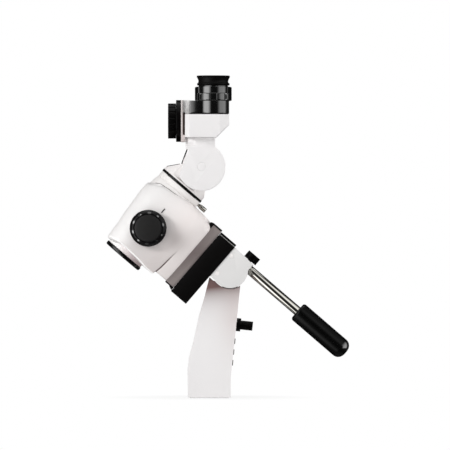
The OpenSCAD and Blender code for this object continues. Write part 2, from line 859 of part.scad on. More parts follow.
// Body form from its side, front and top outlines, with its walls moved in by d
function body_side() = concat(
    [for (s = body_side_shares) [s[0] * (s[0] < 0 ? body_front : body_back), body_top + s[1] * body_h]],
    [for (s = body_brow_shares) [s[0] * body_back, body_top + s[1] * body_h]],
    [for (s = body_nose_shares) [s[0] * body_front, body_top + s[1] * body_h]]);
function body_face() = concat(
    [for (i = [len(body_face_shares) - 1 : -1 : 0])
        [body_face_shares[i][0] * body_w / 2, body_top + body_face_shares[i][1] * body_h]],
    [for (s = body_face_shares) [-s[0] * body_w / 2, body_top + s[1] * body_h]]);
function plan_half() = concat(
    [for (s = body_plan_front_shares) [s[0] * body_front, -s[1] * body_w / 2]],
    [for (s = body_plan_rear_shares) [s[0] * body_back, -s[1] * body_w / 2]]);
function body_plan() = concat(plan_half(),
    [for (i = [len(plan_half()) - 1 : -1 : 0]) [plan_half()[i][0], -plan_half()[i][1]]]);

module body_form(d) intersection() {
    across(2 * body_w) polygon(inset(body_side(), d));
    lengthwise(-2 * body_front, 2 * body_back) polygon(inset(body_face(), d));
    translate([0, 0, -2 * body_h]) linear_extrude(2 * body_h) polygon(inset(body_plan(), d));
    union() {
        rod_z(neck_r - d, -2 * body_h, 0);
        box([0, -body_w, -2 * body_h], [2 * body_back, body_w, 0]);
        box([-body_w, -body_w, -2 * body_h], [body_w, body_w, body_top - neck_depth - d]);
    }
}

module body_step(d) box([body_step_b - d, -body_w, body_top - 2 * body_h],
    [2 * body_back, body_w, body_low + body_step_h + d]);

module body_shell(side) color("white") in_head() difference() {
    body_form(0);
    difference() {
        body_form(body_wall);
        body_step(body_wall);
    }
    body_step(0);
    box([-2 * body_w, side < 0 ? 0 : -2 * body_w, -2 * body_h],
        [2 * body_w, side < 0 ? 2 * body_w : 0, 2 * body_h]);
    rod_z(frame_ring_r + frame_ring_gap, body_top - 2 * body_wall, 0);
    box([body_back - 2 * body_wall, -window_half - window_gap, window_bottom - window_gap],
        [body_back + over, window_half + window_gap, window_top + window_gap]);
    translate([objective_b, 0, 0])
        rod_z(barrel_r + barrel_gap, -2 * body_h, body_low + 3 * body_wall);
    translate([changer_b, 0, changer_z]) rod_y(changer_stub_r + air, -body_w, body_w);
}
module body_shell_left() body_shell(-1);
module body_shell_right() body_shell(1);

module body_frame() color("silver") in_head() difference() {
    union() {
        rod_z(frame_ring_r, frame_top, body_top);
        box([frame_front, -frame_side_in, frame_top - frame_t],
            [body_back - frame_rear_t / 2, frame_side_in, frame_top]);
        box([body_back - frame_rear_t, -window_half, window_bottom], [body_back, window_half, window_top]);
        box([body_back - frame_rear_t, -window_half, frame_foot_top - frame_foot_t],
            [body_back - frame_rear_t / 2, window_half, frame_top]);
        box([frame_front, -frame_side_in, frame_foot_top - frame_foot_t],
            [body_back - frame_rear_t / 2, frame_side_in, frame_foot_top]);
        both_sides() box([frame_side_front, frame_side_in, frame_foot_top - frame_foot_t],
            [body_back - frame_rear_t, frame_side_in + frame_side_t, frame_top]);
    }
    rod_z(light_r, frame_top - 2 * frame_t, 0);
    translate([objective_b, 0, 0]) rod_z(foot_light_r, frame_foot_top - 2 * frame_foot_t,
        frame_foot_top + over);
    translate([changer_b, 0, changer_z]) rod_y(changer_stub_r + run, -body_w, body_w);
}

module collar() color("white") in_head() difference() {
    rod_z(collar_r, body_top, body_top + collar_h);
    rod_z(collar_bore_r, body_top - over, 0);
    translate([0, 0, screw_z]) rod_x(screw_r + run, 0, 2 * collar_r);
}

module lamp() color("silver") in_head() translate([0, 0, lamp_z]) {
    rod_x(lamp_r, lamp_front, body_back - frame_rear_t);
    for (i = [0 : lamp_fin_n - 1]) translate([lamp_fin_b + i * lamp_fin_step, 0, 0])
        intersection() {
            rod_x(lamp_fin_r, 0, lamp_fin_t);
            box([-lamp_fin_r, -lamp_fin_r, -lamp_r], [lamp_fin_r, lamp_fin_r, lamp_fin_r]);
        }
}

module lamp_prism() color("lightblue") in_head() across(2 * prism_half)
    polygon([[prism_front, frame_foot_top], [prism_front + prism_side, frame_foot_top],
             [prism_front + prism_side, frame_foot_top + prism_side]]);

module objective_barrel() color("white") in_head() translate([objective_b, 0, 0]) difference() {
    rod_z(barrel_r, barrel_bottom, frame_foot_top - frame_foot_t);
    rod_z(lens_r + seat, barrel_bottom - over, frame_foot_top - frame_foot_t - barrel_lip);
    rod_z(barrel_lip_r, barrel_bottom, 0);
}

module objective_ring() color("black") in_head() translate([objective_b, 0, 0])
    tube_z(objective_r, lens_r + seat, barrel_bottom - objective_h, barrel_bottom);

module objective_lenses() color("lightblue") in_head() translate([objective_b, 0, 0]) {
    translate([0, 0, barrel_bottom - objective_h + objective_recess + objective_lens_t]) mirror([0, 0, 1])
        lens(lens_r, objective_lens_t, lens_curve);
    translate([0, 0, frame_foot_top - frame_foot_t - barrel_lip - inner_lens_t])
        lens(lens_r, inner_lens_t, lens_curve);
}

module at_changer() in_head() translate([changer_b, 0, changer_z]) children();

module changer_drum() color("gray") at_changer() {
    difference() {
        rod_y(drum_r, -drum_half, drum_half);
        for (turn = [0, 60, 120], y = [-drum_bore_y, drum_bore_y]) rotate([0, turn, 0])
            translate([0, y, 0]) rod_z(drum_bore_r, -2 * drum_r, 2 * drum_r);
    }
    both_sides()
        rod_y(changer_stub_r, drum_half - over, body_w / 2 + knob_side_gap + knob_grip - seat);
}

module changer_lenses() color("lightblue") at_changer()
    for (turn = [60, 120, 240, 300], y = [-drum_bore_y, drum_bore_y]) rotate([0, turn, 0])
        translate([0, y, changer_lens_at_share * drum_r])
            lens(changer_lens_r, changer_lens_t, changer_curve);

// Knob with a fluted rim, a bevel and a low cap, standing on the side of the body
module changer_knob() translate([0, body_w / 2 + knob_side_gap, 0]) rotate([-90, 0, 0]) difference() {
    rim_h = knob_h * knob_rim_share;
    union() {
        rod_z(knob_r, 0, rim_h);
        translate([0, 0, rim_h])
            cylinder(r1 = knob_r, r2 = knob_r * knob_bevel_share, h = knob_h - rim_h - knob_cap_h);
        rod_z(knob_r * knob_cap_r_share, 0, knob_h);
    }
    rod_z(changer_stub_r + seat, -over, knob_grip);
    for (i = [0 : knob_flutes - 1]) rotate((i + 1 / 2) * 360 / knob_flutes)
        translate([flute_share * knob_r, 0, 0]) rod_z(flute_r, rim_h + flute_floor_h, knob_h + over);
}
module changer_knob_right() color("black") at_changer() changer_knob();
module changer_knob_left() color("black") at_changer() mirror([0, 1, 0]) changer_knob();

module dovetail_screw() color("silver") in_head() translate([0, 0, screw_z]) {
    rod_x(screw_r, collar_bore_r + air, collar_r + air);
    translate([collar_r + air, 0, 0]) rotate([0, 90, 0]) cylinder(r1 = screw_r, r2 = screw_head_r,
        h = screw_cone);
    rod_x(screw_head_r, collar_r + air + screw_cone, collar_r + air + screw_head_len);
}

module dovetail_ring() color("black") in_head() difference() {
    union() {
        rod_z(dovetail_r, dovetail_low, dovetail_high);
        translate([0, 0, dovetail_low - dovetail_h]) cylinder(r1 = dovetail_low_r, r2 = dovetail_top_r,
            h = dovetail_h);
    }
    rod_z(dovetail_light_r, -2 * dovetail_h, dovetail_high + over);
}

module at_hub() translate([hub_b, 0, hub_rise]) children();

module base_housing() color("white") in_head() difference() {
    union() {
        rod_z(base_left, dovetail_high, dovetail_high + flange_h);
        intersection() {
            across(2 * base_half) polygon([[-base_left, dovetail_high], [base_left, dovetail_high],
                [base_left, base_shoulder_right], [base_neck_right, base_neck_top_right],
                [hub_b, hub_rise], [-base_neck_left, base_neck_top], [-base_left, base_low]]);
            rod_z(base_left, 0, 2 * hub_rise);
        }
        at_hub() rod_y(ear_r, -base_half, base_half);
    }
    rod_z(base_light_r, 0, hub_rise);
    at_hub() {
        rod_y(ear_r - drum_wall, drum_wall - base_half, base_half - drum_wall);
        rod_y(trunnion_r + run, pin_in - base_half, base_half - pin_in);
        both_sides() rod_y(pin_r + seat, base_half - pin_in, base_half + over);
    }
}

module inclination_pins() color("silver") in_head() at_hub() both_sides()
    rod_y(pin_r, base_half - pin_in, cheek_in + cheek_t);

module deflector_mirror() color("lightgray") in_head() at_hub() rotate([0, -rest_tilt / 2, 0]) {
    rod_y(trunnion_r, pin_in + air - base_half, base_half - pin_in - air);
    box([-mirror_half_t, -mirror_half, -mirror_len / 2], [mirror_half_t, mirror_half, mirror_len / 2]);
}

// Outline of a cheek: a disc and a neck, cut off along a chord on the front
module cheek_outline(r) difference() {
    union() {
        circle(r = r);
        translate([neck_front, 0]) square([neck_rear - neck_front, head_low]);
    }
    rotate(-chord_angle) translate([-cheek_chord - 2 * r, -2 * r]) square([2 * r, 2 * r + chord_top]);
}

module head_neck() color("white") in_bino() difference() {
    union() {
        both_sides() band(cheek_in, cheek_in + cheek_t) cheek_outline(cheek_r);
        box([neck_front, -cheek_in, neck_base], [neck_rear, cheek_in, head_low]);
    }
    rod_y(pin_r + run, -head_w, head_w);
    rod_z(neck_light_r, 0, 2 * head_low);
    both_sides() translate([neck_front, cheek_in + cheek_t, 0]) rotate([0, 0, 45])
        box([-neck_corner, -neck_corner, neck_base], [neck_corner, neck_corner, head_low + over]);
}

function head_side() = [[head_front, head_low], [head_rear - head_chamfer, head_low],
    [head_rear, head_low + head_chamfer], [head_rear, head_high], [head_front, head_high]];
function head_plan() = [[head_front, band_depth - head_w / 2], [head_front + front_band, -head_w / 2],
    [head_rear - rear_band, -head_w / 2], [head_rear, band_depth - head_w / 2],
    [head_rear, head_w / 2 - band_depth], [head_rear - rear_band, head_w / 2],
    [head_front + front_band, head_w / 2], [head_front, head_w / 2 - band_depth]];

module head_shell() color("white") in_bino() difference() {
    intersection() {
        across(2 * head_w) polygon(head_side());
        linear_extrude(2 * head_high) polygon(head_plan());
    }
    intersection() {
        union() {
            across(2 * head_w) polygon(inset(head_side(), head_wall));
            box([deck_front + deck_side, -head_w, head_high - 2 * head_wall], [2 * head_d, head_w,
                head_high + over]);
        }
        linear_extrude(2 * head_high) polygon(inset(head_plan(), head_wall));
    }
    rod_z(neck_light_r, 0, head_high);
    pd_shaft_bore();
}

module pd_shaft_bore() translate([0, 0, pd_z]) rod_x(pd_shaft_r + run, 2 * head_front, 0);

module front_plate() color("white") in_bino() difference() {
    union() {
        box([front_plate_x, -front_plate_half, front_plate_low],
            [front_plate_x + front_plate_t, front_plate_half, front_plate_high]);
        box([front_plate_x, -front_plate_half, front_plate_low],
            [head_front, front_plate_half, front_plate_low + front_plate_foot]);
    }
    pd_shaft_bore();
}

module front_block() color("silver") in_bino() across(2 * front_block_half) polygon([
    [front_plate_x + front_plate_t, block_low], [head_front, block_low], [head_front, head_high],
    [front_block_rear, head_high], [front_block_rear, block_high],
    [front_plate_x + front_plate_t, block_high]]);

module pd_flange() color("black") in_bino() difference() {
    union() {
        translate([0, 0, pd_z]) rod_x(pd_flange_r, front_plate_x - pd_flange_t, front_plate_x);
        box([front_plate_x + front_plate_t, -front_block_half, front_plate_low + front_plate_foot],
            [head_front, front_block_half, block_low]);
    }
    pd_shaft_bore();
}

// Slot in the deck for a carrier's leg
module leg_way() box(
    [pd_gear_x - pd_slot_gap, pd_leg_out - pd_leg_w - pd_range - pd_slot_gap, head_high - over],
    [pd_gear_x + pd_gear_t + pd_slot_gap, pd_leg_out + pd_range + pd_slot_gap, head_high + deck_t + over]);

// Slot in the deck for the light of one eyepiece
module light_way() for (y = [-pd_range, pd_range]) translate([eye_x, pupil_space / 2 + y, 0])
    rod_z(carrier_light_r, head_high - over, head_high + deck_t + over);

module slide_deck() color("black") in_bino() difference() {
    intersection() {
        translate([0, 0, head_high]) linear_extrude(deck_t) polygon(head_plan());
        box([deck_front, deck_side - head_w / 2, head_high], [deck_rear, head_w / 2 - deck_side,
            head_high + deck_t]);
    }
    both_sides() {
        leg_way();
        light_way();
    }
}

module head_prisms() color("lightblue") in_bino() for (y = [-side_prism_y, 0, side_prism_y])
    translate([prism_x, y - prism_w / 2, head_low + head_wall]) cube(prism_w);

module pd_knob() color("black") in_bino() translate([0, 0, pd_z]) {
    difference() {
        rod_x(pd_knob_r, front_plate_x - pd_flange_t - air - pd_knob_t, front_plate_x - pd_flange_t - air);
        for (i = [0 : pd_flutes - 1]) rotate([i * 360 / pd_flutes, 0, 0])
            translate([0, 0, pd_knob_r + pd_flute_out]) rod_x(pd_flute_r, 3 * head_front, 0);
    }
    rod_x(pd_shaft_r, front_plate_x - pd_flange_t - pd_knob_t / 2, pd_gear_x + pd_gear_t);
    lengthwise(pd_gear_x, pd_gear_x + pd_gear_t) gear(pd_n, pd_pitch, 0);
}

// Eyepiece carrier on the side s: its rack runs over the pinion on the left and under it on the right
module carrier(s) in_bino() {
    eye_y = s * pupil_space / 2;
    rack_z = pd_z - s * pd_pitch;
    bar_z = rack_z - s * (dedendum_share * gear_m + pd_rack_back / 2);
    difference() {
        union() {
            translate([eye_x, eye_y, 0]) rod_z(carrier_r, carrier_z, carrier_top);
            translate([carrier_front, eye_y - carrier_block_half, carrier_z])
                cube([eye_x - carrier_front, 2 * carrier_block_half, carrier_h]);
            translate([pd_gear_x, s * pd_leg_out - (s > 0 ? pd_leg_w : 0), bar_z])
                cube([pd_gear_t, pd_leg_w, carrier_z + over - bar_z]);
        }
        translate([eye_x, eye_y, 0]) rod_z(carrier_light_r, carrier_z - over, carrier_top + over);
    }
    translate([pd_gear_x, s > 0 ? 0 : -pd_leg_out, bar_z - pd_rack_back / 2])
        cube([pd_gear_t, pd_leg_out, pd_rack_back]);
    translate([0, PI * gear_m / 2, rack_z]) lengthwise(pd_gear_x, pd_gear_x + pd_gear_t)
        rotate(s > 0 ? 0 : 180) rack_row(pd_rack_half, pd_rack_back);
}
module carrier_left() color("black") carrier(-1);
module carrier_right() color("black") carrier(1);

module at_eye(s) in_bino() translate([eye_x, s * pupil_space / 2, 0]) children();

module dioptre_ring() difference() {
    rotate_extrude() polygon([[ocular_r + ocular_run, dioptre_z], [dioptre_r - dioptre_bevel, dioptre_z],
        [dioptre_r, dioptre_z + dioptre_bevel], [dioptre_r, dioptre_top - dioptre_bevel / 2],
        [dioptre_r - dioptre_bevel / 2, dioptre_top], [ocular_r + ocular_run, dioptre_top]]);
    between = 180 / dioptre_n * (1 - dioptre_lug_share);
    for (i = [0 : dioptre_n - 1]) rotate((i + 1 / 2) * 360 / dioptre_n) translate([0, 0, dioptre_z - over])
        linear_extrude(dioptre_h + 2 * over) difference() {
            polygon([[0, 0], 2 * dioptre_r * [cos(between), -sin(between)],
                2 * dioptre_r * [cos(between), sin(between)]]);
            circle(r = dioptre_core_r);
        }
}
module dioptre_ring_left() color("black") at_eye(-1) dioptre_ring();
module dioptre_ring_right() color("black") at_eye(1) dioptre_ring();

// Ocular barrel with its eye lens set in the neck
module ocular() {
    neck_top = cup_z + ocular_neck_h;
    lens_z = neck_top - eye_lens_low - eye_lens_t;
    rotate_extrude() polygon([[ocular_bore_r, ocular_low], [ocular_r, ocular_low], [ocular_r, cup_z],
        [ocular_neck_r, cup_z], [ocular_neck_r, neck_top], [eye_lens_r + seat, neck_top],
        [eye_lens_r + seat, lens_z], [eye_lens_r - over, lens_z], [eye_lens_r - over, lens_z - over],
        [ocular_bore_r, lens_z - eye_stop_h]]);
    translate([0, 0, lens_z]) lens(eye_lens_r, eye_lens_t, eye_curve);
}
module ocular_left() color("black") at_eye(-1) ocular();
module ocular_right() color("black") at_eye(1) ocular();

module eyecup() translate([0, 0, cup_z]) rotate_extrude()
    polygon([for (s = cup_shares) [s[0] * cup_r + cup_fit, s[1] * cup_h]]);
module eyecup_left() color("black") at_eye(-1) eyecup();
module eyecup_right() color("black") at_eye(1) eyecup();

foot_plate();
arm_core();
arm_shell_left();
arm_shell_right();
foot_screws();
control_board();
brightness_knob();
button_upper();
button_middle();
button_lower();
tilt_bracket();
bracket_cover_left();
bracket_cover_right();
bracket_screws();
tilt_axle();
bracket_bushes();
focus_housing();
housing_caps();
guide_rails();
handle_rod();
handle_grip();
idler_gear();
clamp_knob();
focus_slide();
slide_caps();
focus_rack();
body_shell_left();
body_shell_right();
body_frame();
collar();
lamp();
lamp_prism();
objective_barrel();
objective_ring();
objective_lenses();
changer_drum();
changer_lenses();
changer_knob_left();
changer_knob_right();
dovetail_screw();
dovetail_ring();
base_housing();
inclination_pins();
deflector_mirror();
head_neck();
head_shell();
front_plate();
front_block();
pd_flange();
slide_deck();
head_prisms();
pd_knob();
carrier_left();
carrier_right();
dioptre_ring_left();
dioptre_ring_right();
ocular_left();
ocular_right();
eyecup_left();
eyecup_right();
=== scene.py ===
# %% [markdown]
# # A colposcope on its tilting arm
# A colposcope is a stereo microscope that looks at a patient from about 300 mm away. Its white
# painted castings carry black knobs, a black focus housing, a chromed handle rod and a rubber
# tipped binocular tube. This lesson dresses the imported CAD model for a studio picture, one piece at
# a time: mesh surfaces come from numpy formulas, and every finish is a small node material.

import json

import bmesh
import bpy
import numpy as np
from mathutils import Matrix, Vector

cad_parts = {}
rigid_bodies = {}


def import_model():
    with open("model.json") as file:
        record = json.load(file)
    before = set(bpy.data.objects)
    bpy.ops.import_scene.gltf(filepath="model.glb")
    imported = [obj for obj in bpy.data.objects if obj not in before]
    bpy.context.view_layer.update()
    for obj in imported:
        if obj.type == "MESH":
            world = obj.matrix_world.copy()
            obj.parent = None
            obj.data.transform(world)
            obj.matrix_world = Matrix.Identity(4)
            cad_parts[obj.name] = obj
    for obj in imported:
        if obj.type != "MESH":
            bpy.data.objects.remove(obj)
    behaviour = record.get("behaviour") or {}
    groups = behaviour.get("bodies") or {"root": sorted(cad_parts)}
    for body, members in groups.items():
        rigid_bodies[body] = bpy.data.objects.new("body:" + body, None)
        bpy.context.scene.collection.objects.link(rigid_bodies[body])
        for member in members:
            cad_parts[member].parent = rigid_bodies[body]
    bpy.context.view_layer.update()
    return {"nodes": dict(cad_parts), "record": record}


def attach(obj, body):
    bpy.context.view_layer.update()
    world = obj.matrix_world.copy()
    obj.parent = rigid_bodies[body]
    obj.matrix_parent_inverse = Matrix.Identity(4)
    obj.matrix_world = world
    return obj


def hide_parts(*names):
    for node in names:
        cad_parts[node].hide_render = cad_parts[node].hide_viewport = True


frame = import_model()
cad = frame["nodes"]
print("CAD nodes:", len(cad))

# %% [markdown]
# ## Places on the leaning microscope
# The microscope leans by 40.7 degrees, so its pieces are easier to draw in a frame of their own: b
# runs from the optical axis back to the operator, y runs across and a runs up the optical axis. The
# binocular head has an upright frame whose origin is the axis on which it tips. Sizes are written
# in millimetres and turned into metres when a mesh is made.

# %% The two frames
LEAN = np.radians(40.7)
ALONG_A = np.array([np.sin(LEAN), 0, np.cos(LEAN)])
ALONG_B = np.array([np.cos(LEAN), 0, -np.sin(LEAN)])
ACROSS = np.array([0.0, 1.0, 0.0])
RING_CENTRE = np.array([-40.03, 0, 306.78])
HUB = RING_CENTRE + 3.9 * ALONG_B + 39.5 * ALONG_A


def leaning(b, y, a):
    """Points of the leaning frame in the row frame: the ring's centre plus b, y and a steps."""
    b, y, a = np.broadcast_arrays(b, y, a)
    return RING_CENTRE + b[..., None] * ALONG_B + y[..., None] * ACROSS + a[..., None] * ALONG_A


def upright(x, y, z):
    """Points of the binocular head's frame: the hub's centre plus x, y and z."""
    x, y, z = np.broadcast_arrays(x, y, z)
    return HUB + np.stack([x, y, z], axis=-1)


print("hub of the binocular head at", np.round(HUB, 2), "mm")

# %% [markdown]
# ## Camera
# The picture is taken from the left side with a long lens, so the object shows almost no
# perspective. The camera looks along +Y from 10 m away, level, and its focal length makes the
# square picture cover 652.5 mm at the object's middle plane.

# %% Camera
camera_data = bpy.data.cameras.new("side_camera")
camera = bpy.data.objects.new("side_camera", camera_data)
bpy.context.scene.collection.objects.link(camera)
bpy.context.scene.camera = camera
VIEW_WIDTH, VIEW_DISTANCE, SENSOR = 0.6525, 10.0, 36.0
camera_data.sensor_width = SENSOR
camera_data.lens = SENSOR * VIEW_DISTANCE / VIEW_WIDTH
camera_data.clip_start, camera_data.clip_end = 0.1, 30.0
camera.location = (0.0226, -VIEW_DISTANCE, 0.2501)
camera.rotation_euler = (np.pi / 2, 0, 0)
print("lens", round(camera_data.lens, 1), "mm")

# %% [markdown]
# ## Shader maths as expressions
# A finish is a recipe such as noise times a tenth plus the base roughness. Wrapping a socket in a
# small class lets that be written as arithmetic: each operator adds one Math node. Every other node
# comes from one method that takes its type, its settings and its inputs.


# %% Sockets with operators
class Link:
    """A socket of one node tree; arithmetic on it adds Math nodes."""

    def __init__(self, owner, socket):
        self.owner, self.socket = owner, socket

    def maths(self, operation, *values, clamp=False):
        settings = dict(operation=operation, use_clamp=clamp)
        return self.owner.node("ShaderNodeMath", settings, *values)

    def __add__(self, other):
        return self.maths("ADD", self, other)

    def __sub__(self, other):
        return self.maths("SUBTRACT", self, other)

    def __rsub__(self, other):
        return self.maths("SUBTRACT", other, self)

    def __mul__(self, other):
        return self.maths("MULTIPLY", self, other)

    def __truediv__(self, other):
        return self.maths("DIVIDE", self, other)

    def __rtruediv__(self, other):
        return self.maths("DIVIDE", other, self)

    def __abs__(self):
        return self.maths("ABSOLUTE", self)

    __radd__, __rmul__ = __add__, __mul__

    def exponent(self):
        """e to the power of the value."""
        return self.maths("EXPONENT", self)

    def clipped(self):
        """The value kept between 0 and 1."""
        return self.maths("ADD", self, 0.0, clamp=True)


# %% [markdown]
# A tree makes its nodes by kind and feeds their sockets with links or plain numbers. The world has
# one, and so has every finish. Nodes could be placed by hand in the editor, but a recipe in words
# can be read, compared and used again.


# %% Node trees
class Tree:
    """A node tree that is built from links and plain numbers."""

    def __init__(self, tree):
        self.tree = tree

    def node(self, kind, settings, *values, output=0, **named):
        """Adds a node: its settings first, then its inputs by place or by name."""
        made = self.tree.nodes.new(kind)
        for key, value in settings.items():
            setattr(made, key, value)
        for key, value in list(enumerate(values)) + list(named.items()):
            self.feed(made.inputs[key], value)
        return Link(self, made.outputs[output])

    def feed(self, socket, value):
        if isinstance(value, Link):
            self.tree.links.new(value.socket, socket)
        else:
            socket.default_value = value

    def parts_of(self, vector):
        """The three components of a vector."""
        split = self.node("ShaderNodeSeparateXYZ", {}, vector).socket.node
        return [Link(self, out) for out in split.outputs]

    def mixed(self, share, low, high, kind="RGBA"):
        """Between low and high by share: a colour, or a number if kind is FLOAT."""
        first, output = (6, 2) if kind == "RGBA" else (2, 0)
        made = self.node("ShaderNodeMix", dict(data_type=kind), share).socket.node
        self.feed(made.inputs[first], low)
        self.feed(made.inputs[first + 1], high)
        return Link(self, made.outputs[output])

    def ranged(self, value, start, end, low=0.0, high=1.0):
        """low where the value is at start, high at end, straight between them and level beyond."""
        return self.node("ShaderNodeMapRange", {}, value, start, end, low, high)


# %% [markdown]
# A finish owns a material and adds short methods for what most recipes start from: coordinates,
# noise and a bump.


# %% Finishes
class Finish(Tree):
    """A material whose Principled shader is fed by links and plain numbers."""

    def __init__(self, name):
        self.material = bpy.data.materials.new(name)
        self.material.use_nodes = True
        super().__init__(self.material.node_tree)
        self.shader = next(n for n in self.tree.nodes if n.type == "BSDF_PRINCIPLED")

    def set(self, **values):
        """Feeds the Principled shader; underscores stand for the spaces of its socket names."""
        for key, value in values.items():
            self.feed(self.shader.inputs[key.replace("_", " ")], value)
        return self

    def place(self):
        """Object coordinates, in metres, which move with the piece."""
        return self.node("ShaderNodeTexCoord", {}, output="Object")

    def noise(self, scale, detail=2.0, at=None):
        """Smooth noise from 0 to 1, with that many grains in a metre."""
        return self.node("ShaderNodeTexNoise", {}, Vector=at or self.place(), Scale=scale,
                         Detail=detail)

    def bumped(self, height, distance, strength):
        """Adds a bump of that height, in metres, to the shader's normal."""
        return self.set(Normal=self.node("ShaderNodeBump", {}, Height=height, Distance=distance,
                                         Strength=strength))


def colour(red, green, blue):
    """A screen colour of 0 to 255 as the linear numbers that the shader needs."""
    srgb = np.array([red, green, blue]) / 255
    linear = np.where(srgb <= 0.04045, srgb / 12.92, ((srgb + 0.055) / 1.055) ** 2.4)
    return (*linear.tolist(), 1.0)


def dimmed(tone, share):
    """A tone whose screen values are cut to that share, as linear numbers."""
    return colour(*[c * share for c in tone])


print("middle grey:", np.round(colour(128, 128, 128), 3))

# %% [markdown]
# ## White powder paint
# The castings wear a warm white powder coat. Up close such paint has a faint orange peel, so a fine
# noise bends the normal, and a broad, weak noise varies the colour and the gloss. On top of this a
# paint can take shades, and most of them are painted shade and painted light: darker or warmer tones
# where the part lies in shade, and a bright line where it catches the light. Some whites are lighter
# copies of the paint, which paint the light on their parts. Each shade is a function that gives its
# share, so that seven whites share one recipe.


# %% White paint
PEEL_DEPTH, GRAIN_DEPTH = 0.00003, 0.000004


def white_paint(name, tint=(242, 238, 237), shades=()):
    """Warm white powder coat; each shade is a function that gives its share, and its tone."""
    paint = Finish(name)
    cloud = paint.noise(9.0, 3.0)
    grain = paint.noise(900.0, 2.0)
    base = paint.mixed(cloud, colour(*tint), dimmed(tint, 0.975))
    for share, tone in shades:
        base = paint.mixed(share(paint), base, colour(*tone))
    paint.set(Base_Color=base, Roughness=cloud * 0.12 + 0.34, Specular_IOR_Level=0.3)
    paint.bumped(grain, PEEL_DEPTH, 0.2)
    return paint.material


WHITE = white_paint("white_powder_coat")
print("nodes of the plain white:", len(WHITE.node_tree.nodes))

# %% [markdown]
# A shade's share comes from the place of the point on the part, or from the shade attribute that the
# piece's own mesh carries. The body takes a painted warm shade towards its back, and its attribute
# holds its dark seam, its painted shade and shadow and its painted highlight. The arm takes the
# painted shadow of the bracket and housing and a painted shade towards the operator, and the barrel a
# painted rosy shade at its back. Painted pictures could hold this too, but a formula of the place
# needs no unwrapping and has no seams.


# %% Shades of the whites
def by_attribute(paint):
    """The piece's own shade attribute: 1 where white paint is darkest or black is polished."""
    return paint.node("ShaderNodeAttribute", dict(attribute_name="shade"), output="Fac")


# Painted highlight: the bright line painted along the body's bottom lip.
def lip_highlight_share(paint):
    """The same attribute below 0, down to -1 where the paint carries a painted highlight."""
    return (by_attribute(paint) * -1.0).clipped()


# Painted shadow of the bracket and the housing on the top of the arm.
def bracket_shadow_share(paint):
    """A share of painted shadow, for the shadow that the bracket and the focus housing cast on the
    arm: it is full on the arm above 161 mm and falls off downwards, e times in 17 mm. It is a little
    weaker towards the operator."""
    x, y, z = paint.parts_of(paint.place())
    depth = ((0.161 - z) + (x - 0.0154) * 0.12) * 59.5
    return (depth * -1.0).exponent().clipped()


# Painted shade: the arm's side towards the operator is painted darker.
def operator_side_shade(paint):
    """A share of painted shade that grows across the arm, from x -12 to 32 mm, and up to 110 mm high,
    squared.
    """
    x, y, z = paint.parts_of(paint.place())
    share = ((x + 0.012) / 0.044).clipped() * (z / 0.11).clipped()
    return share * share


# Painted shade: a tone that grows towards the back of a part, warmer on the body and rosy on the
# barrel.
def shade_toward_back(start, length):
    """A share of painted shade that grows from 0 at b = start to 1 over that length, both in metres.
    """
    ring_x, ring_z = RING_CENTRE[0] / 1000, RING_CENTRE[2] / 1000

    def share(paint):
        x, y, z = paint.parts_of(paint.place())
        b = (x - ring_x) * ALONG_B[0] + (z - ring_z) * ALONG_B[2]
        return ((b - start) / length).clipped()

    return share


# Body: a painted warm shade towards its back, then the attribute's dark tone, which is the dark seam
# and painted shade and shadow, then the attribute's painted highlight on the lip.
BODY_SHADED_WHITE = white_paint("body_shaded_powder_coat", (242, 240, 239), [
    (shade_toward_back(-0.02, 0.06), (241, 234, 232)), (by_attribute, (72, 50, 48)),
    (lip_highlight_share, (255, 254, 253))])
# Arm: painted shade towards the operator and the painted shadow of the bracket.
ARM_SHADED_WHITE = white_paint("arm_shaded_powder_coat", (242, 240, 240), [
    (operator_side_shade, (226, 219, 218)), (bracket_shadow_share, (112, 88, 86))])
HEAD_WHITE = white_paint("head_powder_coat", (239, 237, 237))
BRACKET_WHITE = white_paint("bracket_powder_coat", (226, 225, 224))
# Collar and neck: a lighter copy of the white, painted light that brightens them.
COLLAR_LIT_WHITE = white_paint("collar_lit_powder_coat", (245, 242, 240))
# Barrel: a lighter copy of the white, painted light on its front, and a painted rosy shade towards
# its back.
BARREL_LIT_SHADED_WHITE = white_paint("barrel_lit_shaded_powder_coat", (254, 252, 251), [
    (shade_toward_back(-0.018, 0.04), (206, 190, 191))])
print("white paints:", len([m for m in bpy.data.materials if m.name.endswith("powder_coat")]))

# %% [markdown]
# ## Black paint, moulded black and rubber
# The blacks differ in gloss: the eyepieces are anodised and lacquered, the knobs are matte moulded
# plastic whose dimples are polished, the grip is polished only at its end, and the eyecups are dull
# rubber. A black that is lit by a white studio turns grey if it mirrors too much, so its specular
# level is low. The polish is a clear coat whose weight comes from the piece's shade attribute.


# %% Blacks
def black_finish(name, tone, gloss, specular, coat=0.0, polished=False):
    """Black with a fine grain; gloss is its roughness and specular how much it mirrors. A polished
    one carries its coat only where the shade attribute says so."""
    made = Finish(name)
    cloud = made.noise(24.0, 3.0)
    fine = made.noise(2200.0, 1.0)
    made.set(Base_Color=made.mixed(cloud, colour(*tone), dimmed(tone, 0.72)),
             Roughness=cloud * 0.06 + gloss, Specular_IOR_Level=specular)
    made.bumped(fine, GRAIN_DEPTH, 0.1)
    if polished:
        made.set(Coat_Weight=by_attribute(made), Coat_IOR=2.0, Coat_Roughness=0.05)
    else:
        made.set(Coat_Weight=coat, Coat_Roughness=0.1)
    return made.material


